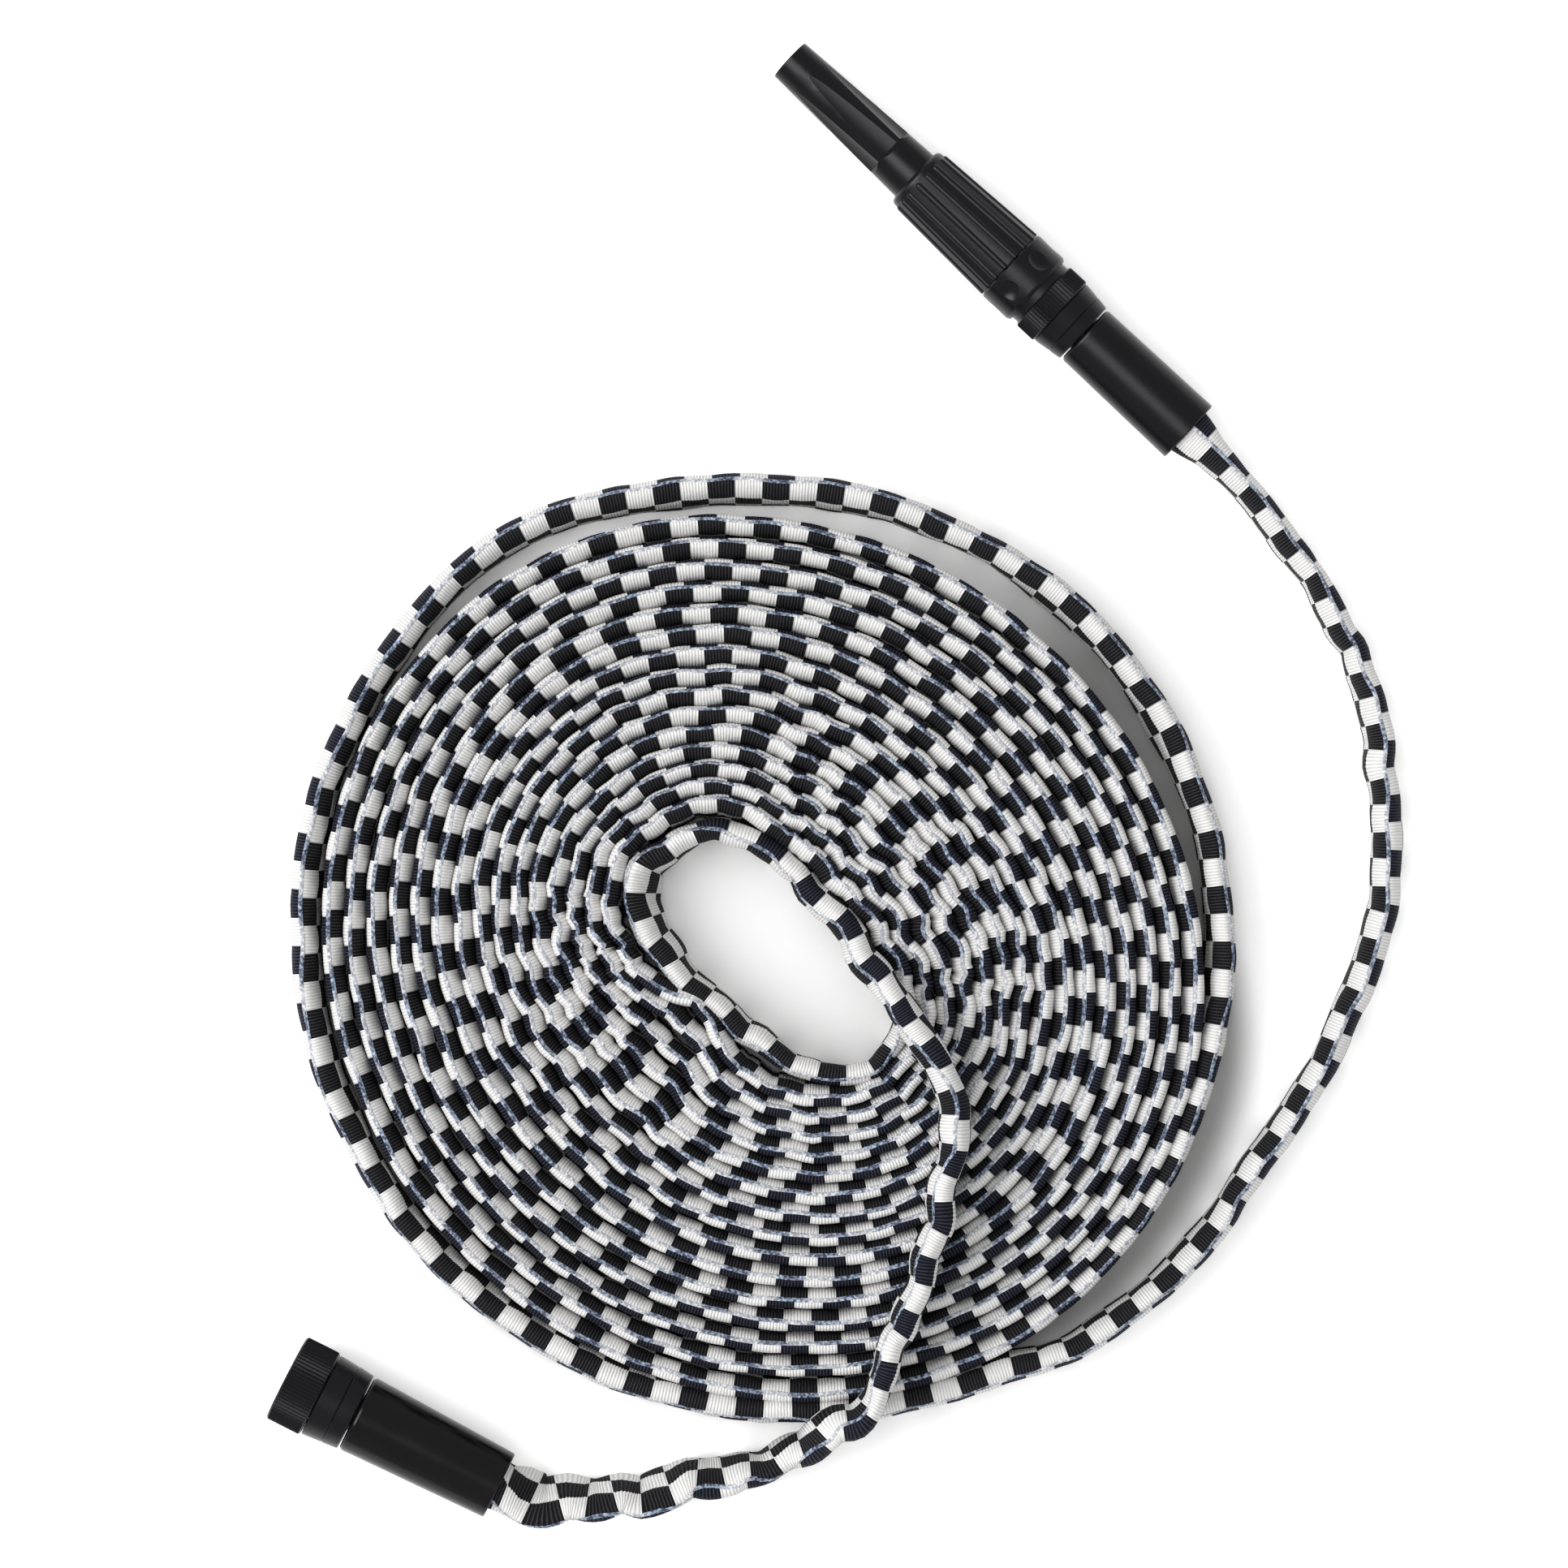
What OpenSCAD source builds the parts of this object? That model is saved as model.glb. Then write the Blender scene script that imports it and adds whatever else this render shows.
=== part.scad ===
// Flat garden hose with a woven jacket, wound into a coil, with a tap connector on
// one end and a twist spray nozzle on the other. It lies on the floor, +Z up.
// Every fitting is drawn along +Z from its free end and then laid down in place.

/* [Hose] */
// Diameter over the jacket when the hose is round
hose_d = 20.4; // [18:0.2:22]
// Wall of the woven jacket
jacket_wall = 0.9; // [0.6:0.1:1.2]
// Wall of the rubber liner inside the jacket
liner_wall = 1.1; // [0.8:0.1:1.4]
// Thickness of the flattened hose where the turns are packed
packed_w = 7.3; // [6:0.1:9]
// Thickness of the outermost turn, which is less squeezed
loose_w = 9.7; // [9:0.1:12]

/* [Coil] */
// Turns of hose in the coil, the loose outermost one with them; one more lies in its opening
coil_turns = 16; // [12:1:16]
// Radius of the loose outermost turn, at the middle of the hose
loose_r = 168.3; // [164:0.1:174]
// How far the loose turn bulges out on one side
bulge = 9.3; // [0:0.1:12]
// Direction of the bulge
bulge_at = 124.5; // [100:0.5:150]
// Mean radius of the packed turns, at their outer end
packed_r = 160.9; // [156:0.1:163]
// Mean radius of the packed turns, at their inner end
opening_r = 47; // [45:0.1:54]
// How much longer than round the outermost packed turn is, each way
oval_outer = 7.2; // [0:0.1:8]
// How much longer than round the innermost turn is, each way
oval_inner = 12.8; // [8:0.1:13]
// Direction of the packed turns' long axis
coil_tilt = 138.5; // [120:0.5:160]
// Depth of the groove between two turns
turn_groove = 3.2; // [1:0.1:5]

/* [Ends of the hose] */
// Radius of the barb's root
barb_r = 7.2; // [6.6:0.1:7.6]
// Height of the barb's teeth
barb_tooth = 0.45; // [0.2:0.05:0.6]
// Length of the barb
barb_len = 40; // [30:1:41]
// Distance between two teeth
barb_pitch = 5.6; // [4:0.1:8]
// Water way through both end fittings
water_r = 5.4; // [4:0.1:6]
// Length of the crimped ferrule
ferrule_len = 18; // [10:1:30]
// Wall of the ferrule
ferrule_wall = 0.5; // [0.3:0.1:0.6]

/* [Tap connector] */
// Radius over the swivel nut's knurls
tap_nut_r = 16.75; // [16:0.05:19]
// Length of the swivel nut
tap_nut_len = 14; // [13:0.5:20]
// Number of knurls round the nut
tap_knurls = 72; // [40:1:80]
// Radius of the threaded bore, at the thread's root
tap_thread_r = 13.6; // [13.2:0.05:14]
// Depth of the threaded bore
tap_thread_len = 8.2; // [7:0.1:9]
// Wall at the back of the nut, round the swivel neck
tap_nut_back = 2.2; // [1.5:0.1:3]
// Radius of the swivel neck
tap_neck_r = 10.3; // [9.6:0.1:11]
// Thickness of the sealing washers
washer_t = 1.8; // [1:0.1:1.9]
// Length of the collar behind the nut
tap_collar_len = 14.2; // [8:0.2:18]
// Radius of the collar at the nut
tap_collar_r = 16.1; // [14:0.1:16.5]
// Radius of the collar at the sleeve
tap_collar_r2 = 15; // [13:0.1:16]
// Length of the bend sleeve
tap_sleeve_len = 59; // [58:1:80]
// Radius of the bend sleeve at the collar
tap_sleeve_r = 14.8; // [13.5:0.1:16]
// Radius of the bend sleeve at its mouth
tap_mouth_r = 13.1; // [12.6:0.1:15]

/* [Outlet coupling] */
// Radius over the male thread
outlet_thread_r = 13.4; // [13:0.05:13.5]
// Radius over the coupling's knurls
outlet_knurl_r = 14.5; // [14:0.1:16]
// Length of the knurled band
outlet_knurl_len = 9; // [6:0.5:14]
// Number of knurls round the coupling
outlet_knurls = 60; // [40:1:80]
// Bare neck between the nozzle nut and the knurled band
outlet_neck_len = 2.7; // [1:0.1:5]
// Length of the outlet collar
outlet_collar_len = 11.4; // [8:0.2:16]
// Radius of the outlet collar at the knurled band
outlet_collar_r = 14; // [12.5:0.1:14.4]
// Radius of the outlet collar at the sleeve
outlet_collar_r2 = 12.6; // [12:0.1:13.5]
// Length of the outlet sleeve
outlet_sleeve_len = 52.7; // [52:0.5:75]
// Radius of the outlet sleeve at the collar
outlet_sleeve_r = 12.3; // [12:0.1:14]
// Radius of the outlet sleeve at its mouth
outlet_mouth_r = 12.8; // [12.6:0.1:14.5]

/* [Nozzle nut] */
// Radius over the nozzle nut
nut_r = 15.2; // [14.9:0.1:16]
// Length of the nozzle nut
nut_len = 13.8; // [12:0.2:16]
// Number of finger dimples round the nut
dimples = 6; // [4:1:8]
// Radius of the ball that cuts a dimple
dimple_ball = 8.4; // [7:0.1:10]
// Depth of a dimple
dimple_depth = 1.15; // [0.5:0.05:1.2]
// Wall at the front of the nut, round the stem's neck
nut_front = 1.7; // [1.2:0.1:2.4]

/* [Nozzle grip] */
// Length of the twist grip
grip_len = 47.8; // [44:0.2:54]
// Radius of the grip between its ribs, at the front
grip_r = 12.7; // [12.4:0.1:14]
// Radius of the grip between its ribs, at the back
grip_r2 = 14.5; // [14.4:0.1:16]
// Number of ribs round the grip
grip_ribs = 16; // [10:1:20]
// Radius of a rib's round back
rib_r = 1.5; // [1.1:0.1:2]
// Height of a rib above the grip
rib_rise = 0.75; // [0.4:0.05:1]

/* [Nozzle barrel] */
// Length of barrel in front of the grip
barrel_show = 63.1; // [56:0.5:75]
// Radius of the barrel at its tip
tip_r = 8.35; // [8:0.05:9.5]
// Radius of the barrel where it enters the grip
barrel_r = 10.35; // [10.2:0.05:10.5]
// Radius over the barrel's drive thread
drive_thread_r = 11.7; // [11.2:0.05:11.8]
// Travel of the barrel
barrel_travel = 6; // [3:0.5:7]
// Number of scooped flats round the barrel
scoops = 6; // [4:1:8]
// Radius of the cutter that scoops a flat
scoop_cutter = 20; // [14:1:30]
// Distance of a scoop's floor from the axis
scoop_floor = 8.65; // [8.4:0.05:9]
// Bare length between a scoop's end and the grip
scoop_back = 13; // [8:0.5:20]
// Radius of the spray hole
orifice_r = 3.2; // [2.6:0.1:3.6]
// Distance of the valve seat from the tip
seat_depth = 14; // [12:0.5:20]
// Radius of the barrel's bore
barrel_bore_r = 6.9; // [6.6:0.05:7.2]

/* [Nozzle stem] */
// Radius of the stem inside the barrel
stem_r = 6.2; // [6:0.05:6.4]
// Radius of the stem's neck behind the barrel
stem_neck_r = 9.1; // [8.6:0.1:9.6]
// Water way through the stem
stem_bore_r = 3.6; // [3:0.1:3.8]
// Length of the ring that the grip turns on
bearing_len = 7; // [6:0.2:9]
// Radius of the ring that the grip turns on
bearing_r = 12.6; // [12.2:0.05:12.7]
// Radius of the O-ring's cord
seal_r = 0.85; // [0.7:0.05:0.95]
// Width of the keys that stop the barrel turning
key_w = 3; // [2:0.1:4]

/* [Clearances] */
// Gap between a sliding or turning piece and its guide
run_gap = 0.1; // [0.06:0.01:0.15]
// Gap round a loose piece or before a stop
free_gap = 0.3; // [0.25:0.05:0.5]
// Gap between pieces fixed to each other
seat_gap = 0.02; // [0.01:0.01:0.05]
// Height of the fittings above the floor
floor_gap = 0.2; // [0.1:0.1:0.5]

/* [Hidden] */
round_fn = 96;
cut = 1;                                // how far a cutter runs past what it cuts

// where the fittings lie: the middle of the mouth that the hose leaves, and the way
// from the fitting's free end to that mouth
tap_mouth = [-87.7, -260.6];
tap_angle = -27;
nozzle_mouth = [166.4, 127.8];
nozzle_angle = -43;
coil_centre = [10, -62];

// the layers of the hose on a barb
barb_top_r = barb_r + barb_tooth;
liner_r = barb_top_r + seat_gap + liner_wall;
jacket_r = liner_r + seat_gap + jacket_wall;
ferrule_r = jacket_r + seat_gap + ferrule_wall;
sleeve_bore_r = ferrule_r + seat_gap;
hose_end_inset = 12;                    // from the sleeve's mouth back to the barb's hose end
sleeve_gap = 0.5;                       // groove between a collar and its sleeve
hub_r = tap_neck_r;

// stations of the tap connector, from the nut's mouth
tap_back_z = tap_nut_len - tap_nut_back;
flange_t = 1.6;
tap_flange_z = tap_back_z - run_gap - flange_t;
tap_seat_r = tap_thread_r - 0.7;        // relief bore behind the thread
tap_collar_z = tap_nut_len + free_gap;
tap_barb_z = tap_collar_z + tap_collar_len;
tap_sleeve_z = tap_barb_z + sleeve_gap;
tap_reach = tap_sleeve_z + tap_sleeve_len;
tap_axis_h = max(tap_nut_r, tap_collar_r, tap_sleeve_r) + floor_gap;

// stations of the nozzle, from its tip
grip_z = barrel_show;
nut_z = grip_z + grip_len + free_gap;
nut_inner_z = nut_z + nut_front;
stem_flange_z = nut_inner_z + run_gap;
nozzle_washer_z = stem_flange_z + flange_t;
outlet_z = nozzle_washer_z + washer_t;
knurl_z = nut_z + nut_len + outlet_neck_len;
outlet_collar_z = knurl_z + outlet_knurl_len;
outlet_barb_z = outlet_collar_z + outlet_collar_len;
outlet_sleeve_z = outlet_barb_z + sleeve_gap;
nozzle_reach = outlet_sleeve_z + outlet_sleeve_len;
nozzle_axis_h = max(nut_r, grip_r2 + rib_rise, outlet_knurl_r) + floor_gap;
nut_bore_r = outlet_thread_r + free_gap;

// the grip's bearing and drive thread
bearing_z = nut_z - free_gap - bearing_len;
clip_t = 1;
clip_z = bearing_z + bearing_len / 2 - clip_t / 2;
clip_root_r = bearing_r - 0.7;
clip_r = bearing_r + 0.5;
throat_len = 10.9;                      // front of the grip, close round the barrel
thread_front_z = grip_z + throat_len + barrel_travel + free_gap;
drive_bore_r = drive_thread_r + run_gap;
barrel_back = 5;                        // from the barrel's end to the bearing ring
barrel_len = bearing_z - barrel_back;
neck_z = barrel_len + free_gap;

// the valve inside the barrel: seat, pin, and the stem with its ports and seal
seat_len = (barrel_bore_r - orifice_r) * 1.5;
pin_reach = 19;                         // from the seat's foot to the stem's front
stem_front_z = seat_depth + seat_len + pin_reach;
pin_shank_r = 2.6;
plug_len = 10;                          // depth of the pin's hole in the stem
port_r = 1.8;
port_z = stem_front_z + plug_len + port_r + 1.2;
stem_front_r = stem_r - 1.2;            // slim front, so that water passes along it
port_back = 5.2;                        // from the ports to the stem's step
stem_step_z = port_z + port_r + port_back;
seal_back = 6;                          // from the stem's step to the seal
seal_z = stem_step_z + seal_back;
seal_w = 2 * seal_r + 0.5;
seal_major_r = barrel_bore_r - run_gap / 2 - seal_r;
key_len = 11;
key_h = 2;

// the hose standing on its edge: its girth stays, so it is taller where it is thinner
function edge_h(w) = w + PI * (hose_d - w) / 2;
coil_h = edge_h(packed_w);

// radius of the hose's middle after t turns from the coil's outer end, in one direction
// from the coil's centre: first of a packed turn, then of the loose one outside them
packed_from = 1.15;                     // turns after which the hose lies packed
loose_until = 0.8;                      // turns up to which it lies loose
radius_sag = 3.3;                       // how far the packed turns' radius falls short half way
oval_shift = 2.2;                       // of the outermost packed turn, away from the long axis
bulge_spread = 19;                      // in degrees
join_r = 11;                            // how far out the free stretch joins the loose turn
join_turns = 0.05;                      // and over how many turns
coil_start = 300;                       // direction of the coil's outer end
function mixed(a, b, share) = a + (b - a) * share;
function packed_turn_r(t, a) =
    let (share = (t - packed_from) / (coil_turns - packed_from))
    mixed(packed_r, opening_r, share) - 4 * radius_sag * share * (1 - share)
        + mixed(oval_outer, oval_inner, share) * cos(2 * (a - coil_tilt))
        - oval_shift * (1 - share) * cos(a - coil_tilt);
function loose_turn_r(t, a) =
    loose_r + bulge * exp(-pow((a - bulge_at) / bulge_spread, 2)) + join_r * exp(-t / join_turns);
function coming_in(t) = max(0, min(1, (t - loose_until) / (packed_from - loose_until)));

// free stretches of the hose, from each fitting to the coil: x, y, how far it has
// climbed on to the coil from 0 to 1, and its thickness there
nozzle_tail_route = [
    [178, 117.5, 0, 13], [190, 104, 0, 11], [208, 80, 0, 10], [224, 52, 0, 10],
    [233, 29, 0, 10], [238, 0, 0, 10], [239, -30, 0, 10], [234, -62, 0, 10],
    [221, -96, 0, 10], [202, -128, 0, 10], [180, -160, 0, 10], [157, -185, 0, 10],
    [134, -203, 0, 10], [114, -214, 0, 10]
];
tap_tail_route = [
    [-79, -263.5, 0.08, 18], [-66, -266.5, 0, 17], [-48, -265, 0, 16], [-30, -262.5, 0, 16],
    [-14, -258.5, 0, 16], [-2, -258, 0, 15], [8, -253, 0, 14], [19, -251, 0.05, 13],
    [27, -247, 0.38, 12], [34.5, -242, 0.88, 11], [43, -234, 1, 11], [51, -226, 1, 10],
    [56, -211, 1, 10], [63, -193, 1, 10], [69, -176, 1, 10], [75, -158, 1, 10],
    [78, -140, 1, 10], [80, -122, 1, 10], [76, -109, 1, 10], [70, -98, 1, 11],
    [62, -87, 1, 11], [54, -75, 0.75, 11], [45, -64, 0.4, 11], [37, -51, 0.12, 11],
    [27, -41, 0, 11], [17, -30, 0, 10], [5, -22.5, 0, 9], [-8, -19, 0, 9],
    [-21, -23, 0, 10], [-32, -31, 0, 10], [-35, -43, 0, 12], [-30, -59, 0, 12],
    [-18, -75, 0, 11], [-4, -86.5, 0, 9], [9, -97, 0, 9], [24, -107, 0, 8]
];

// the middle of a fitting's axis at a distance in front of its mouth
function before_mouth(mouth, angle, back) = mouth - back * [cos(angle), sin(angle)];

// points on the loose turn and in the innermost packed one, written as the routes above are
function in_coil(r, a, w) = concat(coil_centre + r * [cos(a), sin(a)], [0, w]);
loose_turn = [
    for (t = [0.02:0.045:1.02])
        let (a = coil_start - 360 * t)
        in_coil(mixed(loose_turn_r(t, a), packed_turn_r(t, a), coming_in(t)), a, loose_w)
];
inner_end = [
    for (a = [-62:8:-46]) in_coil(packed_turn_r(coil_turns - 0.5, a), a, packed_w)
];

// a whole stretch as [x, y, z, thickness]: it starts inside the sleeve and ends in a turn
function tail(mouth, angle, h, route) = concat(
    [for (back = [hose_end_inset, 0])
        let (p = before_mouth(mouth, angle, back)) [p[0], p[1], h, 2 * jacket_r]],
    [for (p = route) [p[0], p[1], p[2] * coil_h + edge_h(p[3]) / 2, p[3]]]
);

// one ring of the hose's outline, square to its way, with the flat sides upright
ring_sides = 12;
function unit(v) = v / norm(v);
function xyz(p) = [p[0], p[1], p[2]];
function ring(p, dir) =
    let (
        side = unit(cross(dir, [0, 0, 1])),
        up = cross(side, dir),
        w = p[3],
        lift = w < 2 * jacket_r ? (edge_h(w) - w) / 2 : 0
    )
    [for (i = [0:ring_sides - 1])
        let (a = (i + 0.5) * 360 / ring_sides, s = sin(a))
        xyz(p) + side * cos(a) * w / 2 + up * (s * w / 2 + sign(s) * lift)];
function way(pts, i) =
    unit(xyz(pts[min(i + 1, len(pts) - 1)]) - xyz(pts[max(i - 1, 0)]));

// skin over rings of equal length: the sides, and both ends or a closed loop
function quads(rings, sides, closed) = [
    for (i = [0:rings - (closed ? 1 : 2)], j = [0:sides - 1])
        let (
            a = i * sides + j,
            b = i * sides + (j + 1) % sides,
            c = ((i + 1) % rings) * sides + (j + 1) % sides,
            d = ((i + 1) % rings) * sides + j
        )
        each [[a, c, b], [a, d, c]]
];

module hose_tube(pts) {
    n = len(pts);
    points = [for (i = [0:n - 1]) each ring(pts[i], way(pts, i))];
    start = [for (j = [0:ring_sides - 1]) j];
    end = [for (j = [ring_sides - 1:-1:0]) (n - 1) * ring_sides + j];
    polyhedron(points, concat(quads(n, ring_sides, false), [start, end]));
}

// lays a fitting down with its mouth where the hose leaves it
module lay(mouth, angle, h, reach) {
    translate([mouth[0], mouth[1], h])
        rotate([0, 90, angle])
            translate([0, 0, -reach])
                children();
}
module lay_tap() {
    lay(tap_mouth, tap_angle, tap_axis_h, tap_reach) children();
}
module lay_nozzle() {
    lay(nozzle_mouth, nozzle_angle, nozzle_axis_h, nozzle_reach) children();
}

module turned(outline) {
    rotate_extrude($fn = round_fn) polygon(outline);
}
module tube(r_out, r_in, z, l) {
    translate([0, 0, z])
        difference() {
            cylinder(r = r_out, h = l, $fn = round_fn);
            translate([0, 0, -cut]) cylinder(r = r_in, h = l + 2 * cut, $fn = round_fn);
        }
}
// quarter round from one direction to another, as points of an outline
function arc(r, z, rad, from, to) = [
    for (i = [0:4]) let (a = from + (to - from) * i / 4) [r + rad * cos(a), z + rad * sin(a)]
];

// straight knurls, with both edges chamfered
module knurled(r, l, count, z) {
    tooth = 0.45;
    edge = 0.8;
    intersection() {
        translate([0, 0, z])
            linear_extrude(l)
                polygon([for (i = [0:2 * count - 1])
                    let (a = i * 180 / count, d = i % 2 == 0 ? 0 : tooth)
                    (r - d) * [cos(a), sin(a)]]);
        turned([
            [0, z], [r - edge, z], [r + cut, z + edge + cut],
            [r + cut, z + l - edge - cut], [r - edge, z + l], [0, z + l]
        ]);
    }
}

// barb with saw teeth, and the hose's end on it
module barb(z) {
    teeth = floor(barb_len / barb_pitch);
    turned(concat(
        [[0, z], [barb_r, z]],
        [for (i = [0:teeth - 1])
            let (t = z + (i + 0.3) * barb_pitch)
            each [[barb_r, t], [barb_top_r, t], [barb_r, t + barb_pitch * 0.6]]],
        [[barb_r, z + barb_len - 1], [barb_r - 0.8, z + barb_len], [0, z + barb_len]]
    ));
}
module water_way(z, l) {
    translate([0, 0, z - cut]) cylinder(r = water_r, h = l + 2 * cut, $fn = round_fn);
}
module liner_end(barb_z, reach) {
    from = barb_z + sleeve_gap;
    tube(liner_r, barb_top_r + seat_gap, from, reach - hose_end_inset - from);
}
module jacket_end(barb_z, reach) {
    from = barb_z + sleeve_gap;
    tube(jacket_r, liner_r + seat_gap, from, reach - hose_end_inset - from);
}
module ferrule(barb_z) {
    from = barb_z + 4;
    tube(ferrule_r, jacket_r + seat_gap, from, ferrule_len);
}

// bend sleeve: round shoulder at the collar, flared bore at the mouth
module sleeve(z, l, r, mouth_r) {
    shoulder = 1.6;
    flare_len = 14;
    mouth_bore_r = mouth_r - 1;
    turned(concat(
        [[sleeve_bore_r, z]],
        arc(r - shoulder, z + shoulder, shoulder, -90, 0),
        [
            [mouth_r, z + l - 0.4], [mouth_r - 0.4, z + l], [mouth_bore_r, z + l],
            [sleeve_bore_r, z + l - flare_len]
        ]
    ));
}

// collar with one fine groove, tapering towards the sleeve
module collar(z, l, r, r2) {
    groove_at = 0.54 * l;
    groove_w = 0.35;
    groove_d = 0.3;
    groove_r = r + (r2 - r) * 0.54;
    edge = 0.35;
    turned([
        [hub_r + seat_gap, z], [r - edge, z], [r, z + edge],
        [groove_r, z + groove_at], [groove_r - groove_d, z + groove_at + groove_w],
        [groove_r, z + groove_at + 2 * groove_w],
        [r2, z + l - edge], [r2 - edge, z + l], [hub_r + seat_gap, z + l]
    ]);
}

// ---- tap connector ----

module tap_nut() {
    color("#1b1b1d") lay_tap() difference() {
        knurled(tap_nut_r, tap_nut_len, tap_knurls, 0);
        turned([
            [0, -cut], [tap_thread_r, -cut], [tap_thread_r, tap_thread_len],
            [tap_seat_r, tap_thread_len], [tap_seat_r, tap_back_z],
            [tap_neck_r + run_gap, tap_back_z], [tap_neck_r + run_gap, tap_nut_len + cut],
            [0, tap_nut_len + cut]
        ]);
    }
}
module tap_washer() {
    color("#3a3d40") lay_tap()
        tube(tap_seat_r - free_gap, water_r + 0.6, tap_flange_z - washer_t, washer_t);
}
module tap_tailpiece() {
    color("#222224") lay_tap() difference() {
        union() {
            translate([0, 0, tap_flange_z])
                cylinder(r = tap_seat_r - free_gap, h = flange_t, $fn = round_fn);
            translate([0, 0, tap_flange_z])
                cylinder(r = tap_neck_r, h = tap_barb_z - tap_flange_z, $fn = round_fn);
            barb(tap_barb_z);
        }
        water_way(tap_flange_z, tap_barb_z + barb_len - tap_flange_z);
    }
}
module tap_collar() {
    color("#1d1d1f") lay_tap()
        collar(tap_collar_z, tap_collar_len, tap_collar_r, tap_collar_r2);
}
module tap_ferrule() {
    color("silver") lay_tap() ferrule(tap_barb_z);
}
module tap_sleeve() {
    color("#161618") lay_tap()
        sleeve(tap_sleeve_z, tap_sleeve_len, tap_sleeve_r, tap_mouth_r);
}
module tap_liner_end() {
    color("#2c2c2e") lay_tap() liner_end(tap_barb_z, tap_reach);
}
module tap_jacket_end() {
    color("gainsboro") lay_tap() jacket_end(tap_barb_z, tap_reach);
}

// ---- hose ----

module hose_tap_tail() {
    color("gainsboro")
        hose_tube(tail(tap_mouth, tap_angle, tap_axis_h, concat(tap_tail_route, inner_end)));
}

module hose_nozzle_tail() {
    color("gainsboro")
        hose_tube(tail(nozzle_mouth, nozzle_angle, nozzle_axis_h,
            concat(nozzle_tail_route, loose_turn)));
}

// the packed coil: oval turns side by side, each a rounded ridge on top
coil_steps = 60;
function coil_outline(a) =
    let (
        middles = [for (k = [coil_turns - 1:-1:1]) packed_turn_r(k + 0.5, a)],
        last = len(middles) - 1,
        low = coil_h - turn_groove
    )
    concat(
        [[middles[0] - packed_w / 2, 0], [middles[0] - packed_w / 2, low], [middles[0], coil_h]],
        [for (i = [1:last])
            each [[(middles[i] + middles[i - 1]) / 2, low], [middles[i], coil_h]]],
        [[middles[last] + packed_w / 2, low], [middles[last] + packed_w / 2, 0]]
    );
module hose_coil() {
    outlines = [for (i = [0:coil_steps - 1]) coil_outline(i * 360 / coil_steps)];
    points = [for (i = [0:coil_steps - 1])
        let (a = i * 360 / coil_steps)
        each [for (p = outlines[i]) [p[0] * cos(a), p[0] * sin(a), p[1]]]];
    color("gainsboro")
        translate([coil_centre[0], coil_centre[1], 0])
            polyhedron(points, quads(coil_steps, len(outlines[0]), true));
}

// ---- outlet coupling on the nozzle's end of the hose ----

module outlet_jacket_end() {
    color("gainsboro") lay_nozzle() jacket_end(outlet_barb_z, nozzle_reach);
}
module outlet_liner_end() {
    color("#2c2c2e") lay_nozzle() liner_end(outlet_barb_z, nozzle_reach);
}
module outlet_ferrule() {
    color("silver") lay_nozzle() ferrule(outlet_barb_z);
}
module outlet_sleeve() {
    color("#1a1a1c") lay_nozzle()
        sleeve(outlet_sleeve_z, outlet_sleeve_len, outlet_sleeve_r, outlet_mouth_r);
}
module outlet_collar() {
    color("#1d1d1f") lay_nozzle()
        collar(outlet_collar_z, outlet_collar_len, outlet_collar_r, outlet_collar_r2);
}
module outlet_coupling() {
    nose_edge = 0.8;
    color("#1b1b1d") lay_nozzle() difference() {
        union() {
            turned([
                [0, outlet_z], [outlet_thread_r - nose_edge, outlet_z],
                [outlet_thread_r, outlet_z + nose_edge], [outlet_thread_r, knurl_z], [0, knurl_z]
            ]);
            knurled(outlet_knurl_r, outlet_knurl_len, outlet_knurls, knurl_z);
            translate([0, 0, outlet_collar_z - cut])
                cylinder(r = hub_r, h = outlet_collar_len + cut, $fn = round_fn);
            barb(outlet_barb_z);
        }
        water_way(outlet_z, outlet_barb_z + barb_len - outlet_z);
    }
}

// ---- spray nozzle ----

module nozzle_nut() {
    edge = 0.6;
    back_edge = 1.3;
    color("#1f1f21") lay_nozzle() difference() {
        turned([
            [stem_neck_r + run_gap, nut_z], [nut_r - edge, nut_z], [nut_r, nut_z + edge],
            [nut_r, nut_z + nut_len - back_edge], [nut_r - back_edge * 0.6, nut_z + nut_len],
            [nut_bore_r, nut_z + nut_len], [nut_bore_r, nut_inner_z],
            [stem_neck_r + run_gap, nut_inner_z]
        ]);
        for (i = [0:dimples - 1])
            rotate([0, 0, (i + 0.5) * 360 / dimples])
                translate([nut_r + dimple_ball - dimple_depth, 0, nut_z + nut_len / 2])
                    sphere(r = dimple_ball, $fn = 48);
    }
}
module nozzle_washer() {
    color("#3a3d40") lay_nozzle()
        tube(nut_bore_r - free_gap, stem_bore_r + 1.4, nozzle_washer_z, washer_t);
}
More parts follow.
